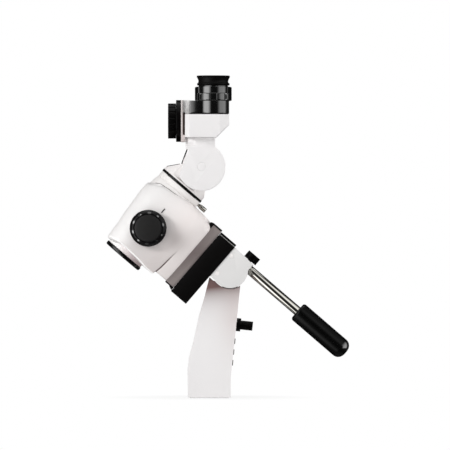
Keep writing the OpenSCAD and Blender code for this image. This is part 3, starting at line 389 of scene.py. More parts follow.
BLACK_PAINT = black_finish("black_satin_paint", (14, 13, 13), 0.25, 0.16)
BLACK_HOUSING = black_finish("black_housing_paint", (9, 8, 8), 0.38, 0.06)
KNOB_CAP = black_finish("knob_cap_plastic", (20, 19, 19), 0.46, 0.3)
KNOB_BLACK = black_finish("knob_moulded_black", (7, 6, 6), 0.28, 0.06)
KNOB_RIM = black_finish("knob_rim_plastic", (12, 11, 12), 0.3, 0.1, polished=True)
GRIP_BLACK = black_finish("grip_gloss_black", (7, 7, 7), 0.25, 0.07, polished=True)
RUBBER = black_finish("eyecup_rubber", (10, 9, 9), 0.42, 0.06)
LENS_BLACK = black_finish("anodised_black", (6, 6, 6), 0.12, 0.5, coat=1.0)
RING_BLACK = black_finish("ring_satin_black", (6, 6, 6), 0.2, 0.3)
print("a black finish has", len(RUBBER.node_tree.nodes), "nodes")

# %% [markdown]
# ## Grey paint and metals
# The slide and the block under the eyepieces are painted a warm grey with painted shade that changes
# with height: the paint mixes a darker tone at one height with a lighter one by the distance from
# that height. The handle rod is chromed and mirrors the studio in long stripes, screws are steel with
# fine lines, and the castings inside are matte.


# %% Grey paint and metals
def grey_paint(name, near, far, middle, reach):
    """Warm grey satin paint with painted shade: it fades from the darker near tone at one height to
    the far tone, which it has where it is that reach above or below."""
    paint = Finish(name)
    height = paint.parts_of(paint.place())[2]
    share = (abs(height - middle) / reach).clipped()
    paint.set(Base_Color=paint.mixed(share, colour(*near), colour(*far)),
              Roughness=paint.noise(30.0) * 0.1 + 0.34, Specular_IOR_Level=0.35)
    paint.bumped(paint.noise(800.0), PEEL_DEPTH, 0.25)
    return paint.material


def metal(name, tone, rough, brushed=0.0):
    """Bare metal. Fine level lines, which are noise that is squeezed along z, vary its roughness by
    up to brushed."""
    made = Finish(name)
    squeezed = made.node("ShaderNodeMapping", {}, Vector=made.place(), Scale=Vector((1, 1, 60)))
    lines = made.noise(60.0, 2.0, at=squeezed)
    made.set(Base_Color=made.mixed(lines, colour(*tone), dimmed(tone, 0.93)),
             Metallic=1.0, Roughness=lines * brushed + rough)
    return made.material


# Painted shade: each grey is darkest at its middle height.
SLIDE_SHADED_GREY = grey_paint("slide_shaded_grey_paint", (125, 114, 113), (141, 132, 130), 0.209, 0.026)
BLOCK_SHADED_GREY = grey_paint("block_shaded_grey_paint", (218, 216, 215), (238, 236, 235), 0.412, 0.019)
PLATE_SHADED_GREY = grey_paint("plate_shaded_grey_paint", (208, 197, 195), (218, 211, 209), 0.37, 0.06)
CHROME = metal("rod_chrome", (164, 162, 156), 0.06, 0.03)
STEEL = metal("turned_steel", (190, 186, 180), 0.2, 0.12)
ALLOY = metal("cast_alloy", (178, 178, 176), 0.42, 0.15)
BRONZE = metal("bearing_bronze", (168, 132, 82), 0.3, 0.12)
print("a metal has", len(CHROME.node_tree.nodes), "nodes")

# %% [markdown]
# The lenses are coated glass, bluish in the reflection. The mirror is a metal film, and the last
# two finishes, circuit board lacquer and gasket cork, are blacks with another colour.


# %% Glass and the rest
def glass(name, tint):
    """Coated optical glass."""
    made = Finish(name)
    made.set(Base_Color=made.mixed(made.noise(18.0), colour(*tint), dimmed(tint, 0.96)),
             Roughness=0.03, IOR=1.52, Transmission_Weight=0.9, Coat_Weight=0.6)
    return made.material


LENS = glass("coated_lens", (196, 214, 232))
MIRROR = metal("front_silvered_mirror", (236, 238, 240), 0.03)
BOARD = black_finish("board_lacquer", (22, 84, 46), 0.35, 0.3)
GASKET = black_finish("gasket_cork_brown", (62, 48, 46), 0.5, 0.1)
print("materials, with the CAD model's own:", len(bpy.data.materials))

# %% [markdown]
# ## Every CAD node gets its finish
# The record gives each node a material slot. The slots are turned into the finishes above, so that
# the pieces that are kept as they are, such as gears and rails inside, look right too.

# %% Finishes by slot
BY_SLOT = dict(white_paint=WHITE, cast_alloy=ALLOY, black_paint=BLACK_PAINT, grey_paint=SLIDE_SHADED_GREY,
               black_knob=KNOB_BLACK, grip_black=GRIP_BLACK, rubber_black=RUBBER,
               polished_steel=CHROME, steel=STEEL, bronze=BRONZE, board_green=BOARD,
               optical_glass=LENS, mirror_glass=MIRROR)
SLOT_OF = {part["node"]: part["material_slot"] for part in frame["record"]["subparts"]}
BODY_OF = {node: body for body, nodes in frame["record"]["behaviour"]["bodies"].items()
           for node in nodes}
for node, piece in cad.items():
    piece.data.materials.clear()
    piece.data.materials.append(BY_SLOT[SLOT_OF[node]])
print("finishes:", len(BY_SLOT))

# %% [markdown]
# ## Pressed and machined pieces with soft edges
# No real edge is knife sharp. Pieces whose CAD form is right, such as boxes, plates and castings,
# are copied, their loose triangles are merged into clean faces, and a Bevel modifier rounds the
# sharp edges. The rounded piece then stands for the CAD node.


# %% Softened copies of CAD nodes
MERGE_REACH = 2e-6
FLAT_ANGLE, EDGE_ANGLE, CREASE_ANGLE = np.radians([0.6, 32, 42])


def cleaned(mesh, merge_flat=False):
    """Merges points that coincide and, if told so, flat faces; turns all faces outwards."""
    work = bmesh.new()
    work.from_mesh(mesh)
    bmesh.ops.remove_doubles(work, verts=work.verts, dist=MERGE_REACH)
    if merge_flat:
        bmesh.ops.dissolve_limit(work, angle_limit=FLAT_ANGLE, verts=work.verts, edges=work.edges)
    bmesh.ops.recalc_face_normals(work, faces=work.faces)
    work.to_mesh(mesh)
    work.free()


def shown(name, mesh, finish, body, nodes=()):
    """The mesh as a piece of a body, that stands for the CAD nodes."""
    mesh.materials.clear()
    mesh.materials.append(finish)
    mesh.shade_smooth()
    piece = bpy.data.objects.new(name, mesh)
    bpy.context.scene.collection.objects.link(piece)
    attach(piece, body)
    if nodes:
        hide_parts(*nodes)
    return piece


def softened(node, finish, radius):
    """The node's merged copy with its edges rounded to radius millimetres."""
    mesh = cad[node].data.copy()
    cleaned(mesh, merge_flat=True)
    piece = shown(node + "_soft", mesh, finish, BODY_OF[node], [node])
    mesh.name = piece.name
    bevel = piece.modifiers.new("edges", "BEVEL")
    bevel.width, bevel.segments = radius / 1000, 3
    bevel.limit_method, bevel.angle_limit = "ANGLE", EDGE_ANGLE
    bevel.use_clamp_overlap, bevel.miter_outer = True, "MITER_ARC"
    bevel.harden_normals = True
    return piece


plate = softened("foot_plate", ALLOY, 0.6)
print("foot plate, merged:", len(plate.data.polygons), "faces")

# %% [markdown]
# ## Surfaces from formulas
# Everything round or sculpted is a grid of points, worked out as whole numpy arrays. The grid's
# columns run round the piece and close on themselves; its first and last rows close on a pole.


# %% Grids
def grid_piece(name, points, finish, body, node=None, shade=None, hoop=False):
    """A closed mesh from points[row, column, xyz] in millimetres: columns wrap round, and rows end
    in a pole each, or in a hoop meet each other. It stands for a CAD node or a list of them."""
    if hoop:
        points = np.vstack([points, points[:1]])
    rows, columns = points.shape[:2]
    where = np.arange(rows * columns).reshape(rows, columns)
    right = np.roll(where, -1, axis=1)
    quads = np.stack([where[:-1], right[:-1], right[1:], where[1:]], axis=-1).reshape(-1, 4)
    spots, faces = points.reshape(-1, 3), [tuple(q) for q in quads.tolist()]
    for row, one, two in [] if hoop else [(0, right, where), (rows - 1, where, right)]:
        spots = np.vstack([spots, points[row].mean(axis=0)])
        pole = len(spots) - 1
        faces += [(pole, a, b) for a, b in zip(one[row].tolist(), two[row].tolist())]
    mesh = bpy.data.meshes.new(name)
    mesh.from_pydata(spots / 1000, [], faces)
    cleaned(mesh)
    if shade:
        at = np.empty(len(mesh.vertices) * 3)
        mesh.vertices.foreach_get("co", at)
        share = shade(at.reshape(-1, 3) * 1000)
        mesh.attributes.new("shade", "FLOAT", "POINT").data.foreach_set("value", share)
    nodes = [node] if isinstance(node, str) else node or []
    piece = shown(name, mesh, finish, body, nodes)
    mesh.set_sharp_from_angle(angle=CREASE_ANGLE)
    return piece


# %% [markdown]
# Rings, tubes and knobs come off a lathe, so they are made the same way: a profile is swept round
# an axis. A turner breaks every sharp edge, and such an edge catches the light, so the profile's
# corners are cut by short arcs first. A Bevel modifier could do that afterwards, but here each
# corner has its own radius.

# %% Turned pieces
CORNER_STEPS = 4


def rounded(profile):
    """Profile corners (r, h, radius) cut by arcs: each becomes points between its tangents."""
    made = []
    for i, (r, h, radius) in enumerate(profile):
        here = np.array([r, h], float)
        if radius == 0 or i in (0, len(profile) - 1):
            made.append(here[None])
            continue
        before, after = (np.array(profile[k][:2]) - here for k in (i - 1, i + 1))
        far, near = np.hypot(*before), np.hypot(*after)
        reach = min(radius, far * 0.49, near * 0.49)
        one, two = here + before / far * reach, here + after / near * reach
        t = np.linspace(0, 1, CORNER_STEPS + 1)[:, None]
        made.append((1 - t) ** 2 * one + 2 * t * (1 - t) * here + t ** 2 * two)
    return np.vstack(made)


def turned(name, profile, place, finish, body, node=None, columns=96, wave=None,
           hoop=False, shade=None):
    """A profile of (r, h) turned round an axis: centre + h axis + r (cos t side + sin t other),
    where place is centre, axis and side. wave(t, r, h) adds to the radius, for lugs and dimples.
    A hoop's profile is closed, which leaves a bore."""
    centre, axis, side = (np.asarray(v, float) for v in place)
    line = rounded(profile)
    t = np.linspace(0, 2 * np.pi, columns, endpoint=False)
    r, h = line[:, :1], line[:, 1:]
    radius = r + (wave(t[None], r, h) if wave else 0) + 0 * t[None]
    around = np.cos(t)[:, None] * side + np.sin(t)[:, None] * np.cross(axis, side)
    points = centre + h[..., None] * axis + radius[..., None] * around[None]
    return grid_piece(name, points, finish, body, node, shade, hoop)


print("a rounded corner has", len(rounded([(0, 0, 0), (1, 0, 0.3), (1, 1, 0)])) - 2, "points")

# %% [markdown]
# ## The white microscope body
# Two moulded half shells make a body that is egg shaped from above: a blunt nose, full flanks and a
# straight back that stands on the slide. It could be cut from a box with bevels, but one swept skin
# keeps the paint's reflections smooth. Its outline is a polygon of shares, averaged with its
# neighbours so that the corners are round.

# %% Outline of the body seen along the optical axis
BODY_NOSE, BODY_BACK, BODY_HALF = 41.0, 73.2, 55.5
OUTLINE = np.array([(-1, 0), (-1, 0.4), (-0.927, 0.65), (-0.732, 0.847), (-0.44, 0.964), (-0.1, 1),
                    (0.486, 1), (0.694, 0.937), (0.861, 0.793), (1, 0.6), (1, 0)])
OUTLINE_STEP, OUTLINE_BLUR = 0.5, 4.0


def smoothed_outline():
    """The outline in shares (u along b, v across), from nose to back, with its corners rounded: it
    is sampled at even steps and averaged with a bell curve."""
    loop = np.vstack([OUTLINE, OUTLINE[-2::-1] * (1, -1)])
    size = np.where(loop[:, 0] < 0, BODY_NOSE, BODY_BACK)
    length = np.hypot(np.diff(loop[:, 0] * size), np.diff(loop[:, 1] * BODY_HALF))
    along = np.concatenate([[0], np.cumsum(length)])
    s = np.arange(0, along[-1], OUTLINE_STEP)
    line = np.stack([np.interp(s, along, loop[:, i]) for i in (0, 1)], axis=-1)
    reach = int(4 * OUTLINE_BLUR)
    bell = np.exp(-0.5 * (np.arange(-reach, reach + 1) * OUTLINE_STEP / OUTLINE_BLUR) ** 2)
    wide = np.vstack([line[-reach:], line, line[:reach]])
    soft = np.stack([np.convolve(wide[:, i], bell / bell.sum(), "valid") for i in (0, 1)], axis=-1)
    return soft[:len(soft) // 2 + 1]


def body_columns():
    """Places round the outline: 2 mm apart, closer at the seam and along the rear groove."""
    half = smoothed_outline()
    b = np.where(half[:, 0] < 0, half[:, 0] * BODY_NOSE, half[:, 0] * BODY_BACK)
    keep = np.arange(len(half)) % 4 == 0
    keep |= (b > 46) & (b < 60) & (half[:, 1] > 0.8)
    one = half[keep]
    one[0, 1] = one[-1, 1] = 0.0
    seam = np.array([0.004, 0.008])
    front = np.stack([np.full(2, one[0, 0]), seam], axis=-1)
    back = np.stack([np.full(2, one[-1, 0]), seam[::-1]], axis=-1)
    one = np.vstack([one[:1], front, one[1:-1], back, one[-1:]])
    return np.vstack([one, one[-2:0:-1] * (1, -1)])


print("places round the body:", len(body_columns()))

# %% [markdown]
# What changes along the body, such as its lower edge and its crown, is kept in tables of places and
# values that are read between their points, so that each measure can be shifted alone.

# %% Measures of the body
LOWER_EDGE = [-3, 10, 24, 36, 51, 52.5], [-120.6, -121.4, -122.2, -124, -124.5, -118.5]
CROWN = ([-40, -25, -10, 5, 20, 36, 50, 58, 64.6, 66.0, 72],
         [-27, -18, -16, -15, -12, -10.5, -11.0, -11.8, -12.8, -15.3, -15.8])
NOSE_REACH = ([-127, -124, -113, -102, -92, -80, -60, -44],
              [32.6, 33.9, 34.9, 35.6, 36.9, 38.2, 39.8, 41])
WIDTH_SHARE = [-124.5, -118.8, -105, -84.6], [0.83, 0.9, 0.964, 1.0]
GROOVE_B = [-124, -109, -90, -78, -70], [51.6, 54.2, 55.6, 56.9, 58.5]
GROOVE_DEPTH = [-100, -74], [1.0, 0.0]
HEM_TURN, LIP_RISE, LIP_WIDTH, LIP_SHARE = 2.4, 1.2, 0.8, 0.012
HEM_ROWS, WALL_ROWS, SHOULDER_ROWS, TOP_ROWS = 5, 34, 14, 17


def lower_edge(b):
    """Height a of the bottom edge, which drops in a curve under the nose."""
    return np.interp(b, *LOWER_EDGE) - 5.8 * np.clip((-b - 14) / 26, 0, 1) ** 1.5


print("bottom edge at the nose: a", round(lower_edge(-BODY_NOSE), 1), "mm")

# %% [markdown]
# The skin's rows climb from the bottom edge up the wall, over a shoulder that is soft at the flanks
# and tight at the nose, and in to the middle of the top. Each row scales the outline.


# %% Rows of the skin
def body_rows(u, v, b0):
    """Rows of the skin as shares of the outline and heights a: hem, wall, shoulder and top."""
    low = lower_edge(b0)
    side = np.abs(v) ** 2.2
    drop = np.where(u < 0, 6.0, 2.0) * (1 - side) + 34.0 * side
    inset = np.where(u < 0, 0.06, 0.025) * (1 - side) + 0.3 * side
    top = np.interp(b0, *CROWN)
    rows = [(scale + 0 * u, low + 0.0) for scale in (0.5, 0.8, 0.93)]
    for turn in np.linspace(0, np.pi / 2, HEM_ROWS):
        rows.append((1 - 0.028 * (1 - np.sin(turn)) + 0 * u, low + HEM_TURN * (1 - np.cos(turn))))
    for q in np.linspace(0, 1, WALL_ROWS)[1:]:
        rows.append((1 + 0 * u, (low + HEM_TURN) * (1 - q) + (top - drop) * q))
    for turn in np.linspace(0, np.pi / 2, SHOULDER_ROWS)[1:]:
        rows.append((1 - inset * (1 - np.cos(turn)), top - drop * (1 - np.sin(turn))))
    scale, a = (np.array(r) for r in zip(*rows))
    cap = np.linspace(1, 0.12, TOP_ROWS)[1:, None] * scale[-1:]
    return np.vstack([scale, cap]), np.vstack([a, np.interp(b0 * cap, *CROWN)]), low


def body_skin():
    """The whole skin as b, y and a. The nose and the width narrow downwards, a lip runs round the
    bottom edge, and a bell shaped groove is cut in the flanks near the back."""
    u, v = body_columns().T
    scale, a, low = body_rows(u, v, np.where(u < 0, u * BODY_NOSE, u * BODY_BACK))
    b = np.where(u < 0, u * np.interp(a, *NOSE_REACH), u * BODY_BACK) * scale
    lip = np.exp(-((a - low - LIP_RISE) / LIP_WIDTH) ** 2) * (a < -118)
    y = v * BODY_HALF * (np.interp(a, *WIDTH_SHARE) + LIP_SHARE * lip) * scale
    cut = np.interp(a, *GROOVE_DEPTH) * np.exp(-((b - np.interp(a, *GROOVE_B)) / 0.7) ** 2)
    return b, y - np.sign(y) * np.where(np.abs(y) > 30, cut, 0) * (a > -119), a


print("rows and columns of the skin:", body_skin()[0].shape)

# %% [markdown]
# The seam between the shells is dark. The groove gets painted shade, the place behind the knob its
# painted shadow and the bottom a painted shade, and a painted highlight runs along the lip. The shade
# attribute holds this for every point of the skin, and the body's paint reads it.


# %% Shade of the body
def body_shade(points):
    """Dark in the seam between the shells; painted shade in the rear groove, the knob's painted
    shadow behind it and painted shade towards the bottom; and -1, a painted highlight, on the lip."""
    from_ring = points - RING_CENTRE
    b, a, y = from_ring @ ALONG_B, from_ring @ ALONG_A, points[:, 1]
    line = np.interp(a, *GROOVE_B)
    seam = np.abs(y) < 0.3
    # Painted shade in the rear groove.
    groove = np.interp(a, *GROOVE_DEPTH) * np.exp(-((b - line) / 0.9) ** 4) * (np.abs(y) > 30)
    # Painted shadow that the knob casts behind it.
    knob_shadow_share = 0.36 * np.exp(-((b - 43) / 21) ** 2 - ((a + 64) / 18) ** 2)
    # Painted shade towards the bottom of the body.
    lower = 0.29 / (1 + np.exp((a + 88) / 8)) / (1 + np.exp(-(b + 3) / 6)) * (b < line)
    up = a - lower_edge(b)
    # Painted highlight along the bottom lip.
    lip = (up > 0.1) & (up < 1.9) & (b < 51)
    return np.where(lip, -1.0, np.clip(knob_shadow_share + lower + 0.8 * seam + groove, 0, 1))


body = grid_piece("microscope_body", leaning(*body_skin()), BODY_SHADED_WHITE, "microscope",
                  ["body_shell_left", "body_shell_right"], shade=body_shade)
print("body faces:", len(body.data.polygons))

# %% [markdown]
# A short cone joins the body to the collar. A thin line of gasket shows where it comes out of the
# shells: a cord that is carried round the cone, thicker at the nose than at the back.


# %% Neck and its seam
def cord_loop(name, path, thick, finish, body):
    """A closed cord of that thickness along a closed path (n, 3): each point of the path gets a
    circle in the plane across the path."""
    ahead = np.roll(path, -1, axis=0) - np.roll(path, 1, axis=0)
    ahead /= np.linalg.norm(ahead, axis=1)[:, None]
    out = np.cross(ahead, ALONG_A)
    out /= np.linalg.norm(out, axis=1)[:, None]
    t = np.linspace(0, 2 * np.pi, 10, endpoint=False)[:, None, None]
    points = path + thick / 2 * (np.cos(t) * out + np.sin(t) * np.cross(out, ahead))
    return grid_piece(name, points, finish, body, hoop=True)


ON_RING = RING_CENTRE, ALONG_A, ACROSS
turned("body_neck", [(35.5, -10.5, 0), (37.5, -20, 0), (38.6, -31, 0)], ON_RING, COLLAR_LIT_WHITE,
       "microscope")
NECK_R = 37.2
round_t = np.linspace(0, 2 * np.pi, 120, endpoint=False)
neck_b, neck_y = NECK_R * np.cos(round_t), NECK_R * np.sin(round_t)
seam_thick = np.interp(neck_b, [-38, 0, 38], [1.1, 0.6, 0.3])[:, None]
cord_loop("neck_seam", leaning(neck_b, neck_y, np.interp(neck_b, *CROWN) + 0.15),
          seam_thick, GASKET, "microscope")
print("neck seam", round(seam_thick.min(), 2), "to", round(seam_thick.max(), 2), "mm thick")

# %% [markdown]
# Beside each magnification knob a black index mark is set in the shell. It is a strip only 1.4 mm
# wide, so a plain prism that stands 0.3 mm proud is enough.


# %% Index marks
def strip_piece(name, b, y, a, finish, body):
    """A small straight strip in the leaning frame between the given pairs of b, y and a."""
    b, y, a = (np.array(v, float) for v in (b, y, a))
    loop = np.array([(0, 0), (1, 0), (1, 1), (0, 1)])
    points = np.stack([leaning(b[loop[:, 0]], y[loop[:, 1]], level) for level in a])
    return grid_piece(name, points, finish, body)


for side, name in ((-1, "left"), (1, "right")):
    mark = strip_piece("index_mark_" + name, (2.8, 4.2), sorted((side * 55.2, side * 55.8)),
                       (-48.6, -41.0), BLACK_PAINT, "microscope")
print("index mark:", round(mark.dimensions.y * 1000, 2), "mm deep")

# %% [markdown]
# ## Rings under the binocular head
# The collar takes the dovetail of the head's base, and the ring above it is bright black. Both are
# turned, so a profile of radius against height is swept once round the optical axis.

# %% Collar and dovetail ring
collar = turned("collar_turned",
                [(28.2, -10.6, 0), (34.6, -10.6, 0.2), (34.6, -9.7, 0.2), (35.5, -9.5, 0.4),
                 (35.5, -1.7, 0.5), (28.2, -1.7, 0.3)],
                ON_RING, COLLAR_LIT_WHITE, "microscope", "collar", hoop=True)
dovetail = turned("dovetail_turned",
                  [(20, -6.9, 0), (27.8, -6.9, 0.2), (26.0, -1.4, 0), (36.2, -1.4, 0.5),
                   (36.2, 2.3, 0.5), (20, 2.3, 0)],
                  ON_RING, BLACK_PAINT, "binocular_base", "dovetail_ring", hoop=True)
softened("dovetail_screw", CHROME, 0.3)
print("rings:", [round(piece.dimensions.y * 1000, 1) for piece in (collar, dovetail)], "mm across")

# %% [markdown]
# ## The binocular head
# The base casting carries two ears; the head hangs between them on pins. Above it stands the prism
# box with its front plate, and the deck on which the two eyepiece carriers slide. All are castings
# or plates, so they are softened copies. A cork gasket lies between the box and its front plate.

# %% Castings of the head
HEAD_PIECES = (
    ("base_housing", WHITE, 1.6), ("head_neck", HEAD_WHITE, 1.6), ("head_shell", HEAD_WHITE, 2.2),
    ("front_plate", PLATE_SHADED_GREY, 0.8), ("front_block", BLOCK_SHADED_GREY, 0.8),
    ("pd_flange", KNOB_BLACK, 0.6), ("slide_deck", BLACK_PAINT, 0.4),
    ("inclination_pins", HEAD_WHITE, 0.3))
for node, finish, radius in HEAD_PIECES:
    softened(node, finish, radius)
print("castings of the head:", len(HEAD_PIECES))

# %% [markdown]
# Gaskets and seals are slabs: a closed outline that is carried from one level to another, with rims
# that are rounded by scaling the outline a little inwards.


# %% Gasket of the front plate
def slab(name, outline, low, high, finish, body, place, edge=0.5):
    """A plate with a closed outline from low to high, its rims rounded by edge. place turns the
    outline's two numbers and the level into points."""
    outline = np.array(outline, float)
    middle = outline.mean(axis=0)
    turn = np.linspace(0, np.pi / 2, 4)
    inset = np.concatenate([1 - np.sin(turn), 1 - np.cos(turn)]) * edge
    height = np.concatenate([low + edge * (1 - np.cos(turn)), high - edge * (1 - np.sin(turn))])
    reach = np.hypot(*(outline - middle).T)
    scale = 1 - inset[:, None] / reach
    points = middle + (outline - middle) * scale[..., None]
    return grid_piece(name, place(points[..., 0], points[..., 1], height[:, None]), finish, body)


def outline_through(corners, step):
    """A closed outline through the corners with points at most step apart."""
    loop = np.array(corners + corners[:1], float)
    parts = []
    for one, two in zip(loop[:-1], loop[1:]):
        count = max(1, int(np.ceil(np.hypot(*(two - one)) / step)))
        parts.append(one + (two - one) * np.arange(count)[:, None] / count)
    return np.vstack(parts)


cork = outline_through([(-27.1, -30), (-24.2, -30), (-24.2, 30), (-27.1, 30)], 60.0)
gasket = slab("head_gasket", cork, 45.5, 77.6, GASKET, "head", upright, edge=0.2)
print("gasket thickness", round(gasket.dimensions.x * 1000, 2), "mm")

# %% [markdown]
# ## Eyepieces
# Each carrier is a glossy black cylinder on a block that slides on the deck. The dioptre ring has
# two tall lugs and eight low ones to grip. They could be ten small blocks, but as a steep wave on
# the ring's radius they are part of one skin. The rubber cup has two thin lips round a hollow
# waist.

# %% Eyepieces
EYE_X, EYE_Y = 17.0, 32.0
LUG_R, LUG_FOOT, LUG_MIDDLE, LUG_TOP = 26.6, 96.1, 106.4, 115.9


def lugs(t, r, h):
    """Ten lugs out to one radius: a steep step of the cosine of ten times the angle. The two that
    point forwards and backwards are as tall as the ring, the others stand in its lower half. They
    stay off the ring's bore."""
    step = np.clip((np.cos(10 * t) - 0.45) * 9 + 0.5, 0, 1)
    rim = np.clip(np.minimum(h - LUG_FOOT, LUG_TOP - h) / 0.9, 0, 1) ** 0.5
    tall = np.abs(np.cos(t)) > 0.95
    present = np.maximum(tall, np.clip((LUG_MIDDLE - h) / 0.8, 0, 1))
    return (LUG_R - r) * step * rim * present * (r > 21.7)


for side, name in ((-1, "left"), (1, "right")):
    eye = upright(EYE_X, side * EYE_Y, 0.0), (0, 0, 1), (1, 0, 0)
    body_name = "eyepiece_" + name
    along = np.linspace(-16.6, 16, 20)
    flank = 17.2 - 0.0068 * np.clip(3 - along, 0, None) ** 2
    block = np.vstack([np.stack([along, -flank], -1), np.stack([along, flank], -1)[::-1]])
    slab("carrier_block_" + name, block + (0, side * EYE_Y), 77.6, 95.6, LENS_BLACK, body_name,
         upright)
    turned("carrier_tube_" + name,
           [(22, 77.6, 0), (22.9, 77.6, 0.3), (22.9, 95.6, 0.6), (20, 95.6, 0)],
           eye, LENS_BLACK, body_name, "carrier_" + name, columns=128)
    turned("dioptre_lugged_" + name, [(21.5, 96.0, 0), (22.9, 96.0, 0.2), (23.4, 96.6, 0.3)]
           + [(23.4, h, 0) for h in np.linspace(97.2, 106.0, 12)]
           + [(22.0, h, 0) for h in np.linspace(106.8, 115.2, 11)]
           + [(22.0, 115.8, 0.3), (21.5, 116.1, 0)],
           eye, LENS_BLACK, "dioptre_" + name, "dioptre_ring_" + name, columns=400, wave=lugs,
           hoop=True)
    softened("ocular_" + name, LENS_BLACK, 0.3)
    turned("eyecup_turned_" + name,
           [(17.2, 117.0, 0), (21.0, 117.0, 0.2), (21.1, 118.4, 0.2), (23.6, 119.2, 0.3),
            (23.6, 120.2, 0.5), (21.9, 121.6, 0.8), (21.4, 124.4, 0.9), (22.6, 128.4, 1.2),
            (24.0, 130.6, 0.3), (24.0, 131.4, 0.4), (22.9, 131.9, 0.4), (21.4, 129.0, 1.5),
            (19.6, 124.5, 1.0), (17.2, 122.4, 0)],
           eye, RUBBER, "ocular_" + name, "eyecup_" + name, columns=128, hoop=True)
print("eyepieces stand", 2 * EYE_Y, "mm apart")

# %% [markdown]
# ## Seals
# A black rubber strip closes the gap in front of the head's neck. It is a slab: an outline in the
# side view, carried across the head.

# %% Neck seal
strip = outline_through([(-29.4, 4.8), (-22.0, 24.9), (-20.6, 24.4), (-28.0, 4.3)], 8.0)
seal = slab("neck_seal", strip, -27.5, 27.5, RUBBER, "head",
            lambda x, z, y: upright(x, y, z), edge=0.3)
print("neck seal", [round(d * 1000, 1) for d in seal.dimensions], "mm")

# %% [markdown]
# The same rubber covers the sloping front of the base. Its outline is the slope's own: the cut of a
# cylinder of 35 mm radius, so the half width is the root of 35 squared less b squared.


# %% Base cover
def on_slope(b, y, h):
    """Points h above the slope that climbs from b -35.6, a 6 to b -21.8, a 22.5."""
    return leaning(b - 0.767 * h, y, 6 + (b + 35.6) * 1.196 + 0.641 * h)


slope_b = np.linspace(-34.8, -22.2, 10)
slope_y = np.sqrt(35.1 ** 2 - slope_b ** 2)
slope = np.vstack([np.stack([slope_b, -slope_y], -1), np.stack([slope_b, slope_y], -1)[::-1]])
slab("base_cover", slope, 0.05, 0.85, RUBBER, "binocular_base", on_slope, edge=0.3)
print("cover: half width", [round(float(y), 1) for y in (slope_y.min(), slope_y.max())], "mm")

# %% [markdown]
# ## Knobs
# Each magnification knob is a moulded drum with ten shallow dimples in its bevelled rim and a
# matte, slightly crowned cap let into its face. A dimple is a bell curve across the bevel times a
# power of the cosine of ten times the angle. The same formula gives the polish in it, as a vertex
# attribute.


# %% Magnification knobs
KNOB_PLACE, DIMPLE_RING = leaning(3.5, 0, -77.9), 22.4


def dimple(t, r):
    """1 in the middle of each of ten dimples that stand in a ring."""
    return (0.5 + 0.5 * np.cos(10 * t)) ** 3 * np.exp(-((r - DIMPLE_RING) / 1.1) ** 2)


def dimple_shade(points):
    """The share of each dimple at points in the row frame, for the polish in it."""
    from_axis = points - KNOB_PLACE
    up, back = from_axis @ ALONG_A, from_axis @ ALONG_B
    return np.clip(dimple(np.arctan2(back, up), np.hypot(up, back)) * 1.6 - 0.3, 0, 1)


for side, name in ((-1, "left"), (1, "right")):
    place = KNOB_PLACE, side * ACROSS, ALONG_A
    bevel = [(r, 72.2 - (r - 20.6) ** 2 * 0.17, 0) for r in np.linspace(20.6, 26.2, 15)[::-1]]
    turned("knob_rim_" + name,
           [(22, 56.2, 0), (25.4, 56.2, 0.8), (26.6, 58.0, 0.8), (26.6, 66.3, 0.3)] + bevel
           + [(20.1, 72.2, 0), (19.8, 71.4, 0)],
           place, KNOB_RIM, "changer", "changer_knob_" + name, columns=320,
           wave=lambda t, r, h: -1.1 * dimple(t, r) * (h > 66), shade=dimple_shade)
    crown = [(r, 72.69 - 1.0 * (r / 18.4) ** 2, 0) for r in (18.4, 16, 13, 10, 7, 4, 1.5)]
    turned("knob_cap_" + name, [(19.7, 70.2, 0), (19.7, 71.4, 0.4)] + crown, place, KNOB_CAP,
           "changer")
print("knob axis through", np.round(KNOB_PLACE, 1), "mm")

# %% [markdown]
# ## Objective
# The white barrel, whose rosy back is painted shade, ends in a black ring round the front lens.
# Behind the lens a black baffle keeps stray light away, which is also why a lens looks dark. All
# three are turned profiles.

# %% Objective
IN_BARREL = leaning(1.5, 0, 0), ALONG_A, ACROSS
turned("barrel_turned",
       [(25.3, -114, 0), (29.6, -114, 0.5), (29.6, -128.8, 0.4), (25.3, -128.8, 0)],
       IN_BARREL, BARREL_LIT_SHADED_WHITE, "microscope", "objective_barrel", hoop=True)
turned("objective_baffle",
       [(6, -123.2, 0), (24.0, -123.2, 0.5), (24.4, -128.6, 0), (25.2, -128.6, 0),
        (25.2, -122.7, 0), (6, -122.7, 0)],
       IN_BARREL, RUBBER, "microscope")
ring = turned("objective_ring_turned",
              [(25.3, -127, 0), (29.9, -128.8, 0.3), (30.8, -129.4, 0.4), (30.8, -133.2, 0.8),
               (29.4, -134.5, 0.6), (26.4, -134.5, 0.5), (25.2, -131.5, 0)],
              IN_BARREL, RING_BLACK, "microscope", "objective_ring", hoop=True)
print("front ring", round(ring.dimensions.y * 1000, 1), "mm across")

# %% [markdown]
# ## Arm, bracket and focus drive
# The arm is a square tube of two pressed shells. The bracket, its covers, the black housing and the
# grey slide are castings whose edges catch the light, so each gets its own edge radius.

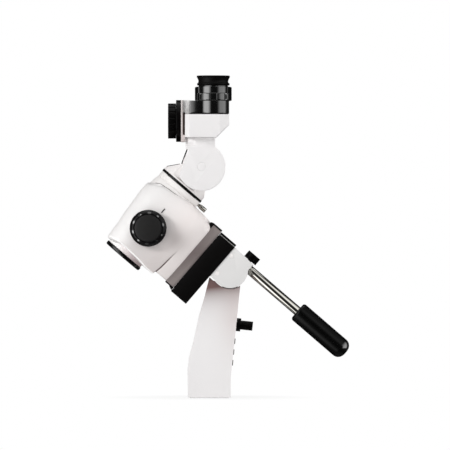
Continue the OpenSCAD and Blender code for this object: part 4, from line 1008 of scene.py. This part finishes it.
# %% Arm, bracket, housing and slide
ARM_PIECES = (
    ("arm_shell_left", ARM_SHADED_WHITE, 2.5), ("arm_shell_right", ARM_SHADED_WHITE, 2.5),
    ("tilt_bracket", BRACKET_WHITE, 1.2), ("bracket_cover_left", BRACKET_WHITE, 1.0),
    ("bracket_cover_right", BRACKET_WHITE, 1.0), ("bracket_screws", WHITE, 0.3),
    ("focus_housing", BLACK_HOUSING, 1.4), ("housing_caps", BLACK_HOUSING, 0.8),
    ("focus_slide", SLIDE_SHADED_GREY, 1.0), ("slide_caps", BLACK_PAINT, 0.8),
    ("clamp_knob", KNOB_BLACK, 0.5), ("brightness_knob", KNOB_BLACK, 0.4),
    ("pd_knob", KNOB_BLACK, 0.6), ("handle_rod", CHROME, 0.3))
for node, finish, radius in ARM_PIECES:
    softened(node, finish, radius)
for name in ("upper", "middle", "lower"):
    softened("button_" + name, KNOB_BLACK, 0.5)

# %% [markdown]
# Two thin strips finish the housing: a rubber dust seal in its front gap, on which the slide runs,
# and a pale bare metal line where its upper cap is let in, which also stands as a painted highlight
# along the cap's edge.

# %% Seal and trim of the housing
strip_piece("dust_seal", (87.03, 87.27), (-29, 29), (-118, -20), RUBBER, "bracket")
# Pale alloy strip: partly a painted highlight along the edge of the upper cap.
trim_and_highlight = strip_piece("cap_trim_and_highlight", (88.0, 115.6), (-32.06, 32.06), (-17.5, -16.6), ALLOY, "bracket")
print("trim:", round(trim_and_highlight.dimensions.y * 1000, 2), "mm across")

# %% [markdown]
# ## Handle grip
# A black sleeve over the rod's end, with a rounded shoulder in front and a domed end. It is one
# turned profile; the dome's radius follows a power of the cosine, which makes it blunter than a
# ball. Hands have polished the dome, so the coat's weight, the shade attribute, grows to 1 there.


# %% Grip
DOME_START, DOME_LENGTH, GRIP_R, ROD_A = 326.0, 12.0, 14.9, -28.2


def dome_polish(points):
    """0 on the sleeve, 1 on the dome's upper side, where the hand rests."""
    from_ring = points - RING_CENTRE
    behind = np.clip((from_ring @ ALONG_B - DOME_START) / 4, 0, 1)
    return behind * np.clip((from_ring @ ALONG_A + 30) / 6, 0, 1)


dome = np.linspace(0, np.pi / 2, 12)[1:-1]
bulge = [(GRIP_R * np.cos(t) ** 0.8, DOME_START + DOME_LENGTH * np.sin(t), 0) for t in dome]
grip = turned("grip_turned", [(9, 245.5, 0), (12.6, 245.5, 1.0), (GRIP_R, 248.0, 1.4)]
              + [(GRIP_R, h, 0) for h in (280.0, 310.0, DOME_START)] + bulge,
              (leaning(0, 0, ROD_A), ALONG_B, ACROSS), GRIP_BLACK, "handle", "handle_grip",
              shade=dome_polish)
print("grip", round(grip.dimensions.y * 1000, 1), "mm thick")

# %% [markdown]
# ## Floor
# The floor is a matte white sheet that keeps the soft shadow of the foot. Camera rays see it as a
# plain white light further out, so its rim can't be told from the backdrop. The share of that light
# grows with the square of the distance from the foot.


# %% Floor
def white_floor():
    """A white sheet: diffuse near the foot, and a plain white light for camera rays further out,
    by a share of 0.8 plus 8 times the squared distance in metres."""
    mesh = bpy.data.meshes.new("studio_floor")
    side = 6.0
    mesh.from_pydata([(-side, -side, 0), (side, -side, 0), (side, side, 0), (-side, side, 0)], [],
                     [(0, 1, 2, 3)])
    floor = bpy.data.objects.new("studio_floor", mesh)
    bpy.context.scene.collection.objects.link(floor)
    paper = Finish("floor_paper")
    paper.set(Base_Color=(0.9, 0.9, 0.9, 1), Roughness=0.9, Specular_IOR_Level=0.0)
    out = next(n for n in paper.tree.nodes if n.type == "OUTPUT_MATERIAL")
    x, y, z = paper.parts_of(paper.place())
    far = ((x * x + y * y) * 8.0 + 0.8).clipped()
    seen = paper.node("ShaderNodeLightPath", {}, output="Is Camera Ray")
    light = paper.node("ShaderNodeEmission", {}, (1, 1, 1, 1), 1.0)
    mixed = paper.node("ShaderNodeMixShader", {}, seen * far,
                       Link(paper, paper.shader.outputs[0]), light)
    paper.tree.links.new(mixed.socket, out.inputs[0])
    mesh.materials.append(paper.material)
    floor.visible_glossy = False
    return floor


print("floor:", white_floor().name)

# %% [markdown]
# ## World
# The world is plain white to the camera and an even grey to diffuse rays. Mirror rays see a dark
# room with two tall bright panels, a narrow card for the rod, and weak light from above and from
# the floor. The world's strength is built from ranges of the ray's direction: its azimuth round the
# object, how steep it is and its height.

# %% Directions of the world
world = bpy.data.worlds.new("studio")
bpy.context.scene.world = world
world.use_nodes = True
sky = Tree(world.node_tree)
toward_x, toward_y, height = sky.parts_of(
    sky.node("ShaderNodeTexCoord", {}, output="Generated"))
azimuth = toward_x.maths("ARCTAN2", toward_x, toward_y * -1.0)
band = sky.ranged(abs(height), 0.62, 0.74, 1.0, 0.0)
print("nodes for the directions:", len(world.node_tree.nodes))

# %% [markdown]
# The panels draw the long stripes on chrome and on black cylinders. Each is a product of a range of
# azimuths, the band of directions that aren't steep, and a lowest height.


# %% Panels
def softbox(middle, half, level, low=-1.0):
    """A tall bright panel in the reflections: azimuths within half of the middle, in degrees, from
    the height low upwards. Its rims are soft: they fade over 20 degrees and a tenth in height."""
    start, end = np.radians([half - 12, half + 8])
    inside = sky.ranged(abs(azimuth - np.radians(middle)), start, end, level, 0.0)
    return inside * band * sky.ranged(height, low - 0.05, low + 0.05)


panels = softbox(-52, 26, 4.6) + softbox(71, 32, 2.1, -0.25) + softbox(31, 13, 2.6, 0.3)
print("nodes with the three panels:", len(world.node_tree.nodes))

# %% [markdown]
# Mirror rays, and rays that have come through glass, see the panels and the two weak lights. Other
# rays see an even grey, and the camera sees white.

# %% What each kind of ray sees
above = sky.ranged(height, 0.8, 0.84, 0.04, 2.2)
below = sky.ranged(height, -0.84, -0.8, 0.5, 0.0)
glossy, through, seen = (sky.node("ShaderNodeLightPath", {}, output=f"Is {kind} Ray")
                         for kind in ("Glossy", "Transmission", "Camera"))
shine = glossy.maths("MAXIMUM", glossy, through)
level = sky.mixed(shine, 0.5, panels + above + below, "FLOAT")
level = sky.mixed(seen, level, 1.0, "FLOAT")
surround = world.node_tree.nodes["Background"]
surround.inputs["Color"].default_value = (1, 1, 1, 1)
sky.feed(surround.inputs["Strength"], level)
print("world nodes:", len(world.node_tree.nodes))

# %% [markdown]
# ## Lamps
# Two large area lights model the forms: a key from the upper left and a weaker fill from the right.
# Mirror rays don't see them, so every highlight comes from the world's panels.


# %% Lamps
def soft_lamp(name, place, target, size, power):
    """A square area lamp that looks at the target."""
    lamp = bpy.data.lights.new(name, "AREA")
    lamp.shape, lamp.size, lamp.energy = "SQUARE", size, power
    holder = bpy.data.objects.new(name, lamp)
    holder.location = place
    holder.rotation_euler = (Vector(target) - Vector(place)).to_track_quat("-Z", "Y").to_euler()
    holder.visible_glossy = False
    bpy.context.scene.collection.objects.link(holder)


soft_lamp("key_lamp", (-1.6, -1.15, 0.9), (-0.04, 0, 0.28), 0.5, 20.4)
soft_lamp("fill_lamp", (1.75, -0.75, 0.45), (0.0, 0, 0.3), 0.8, 13.2)
bpy.context.scene.view_settings.view_transform = "Standard"
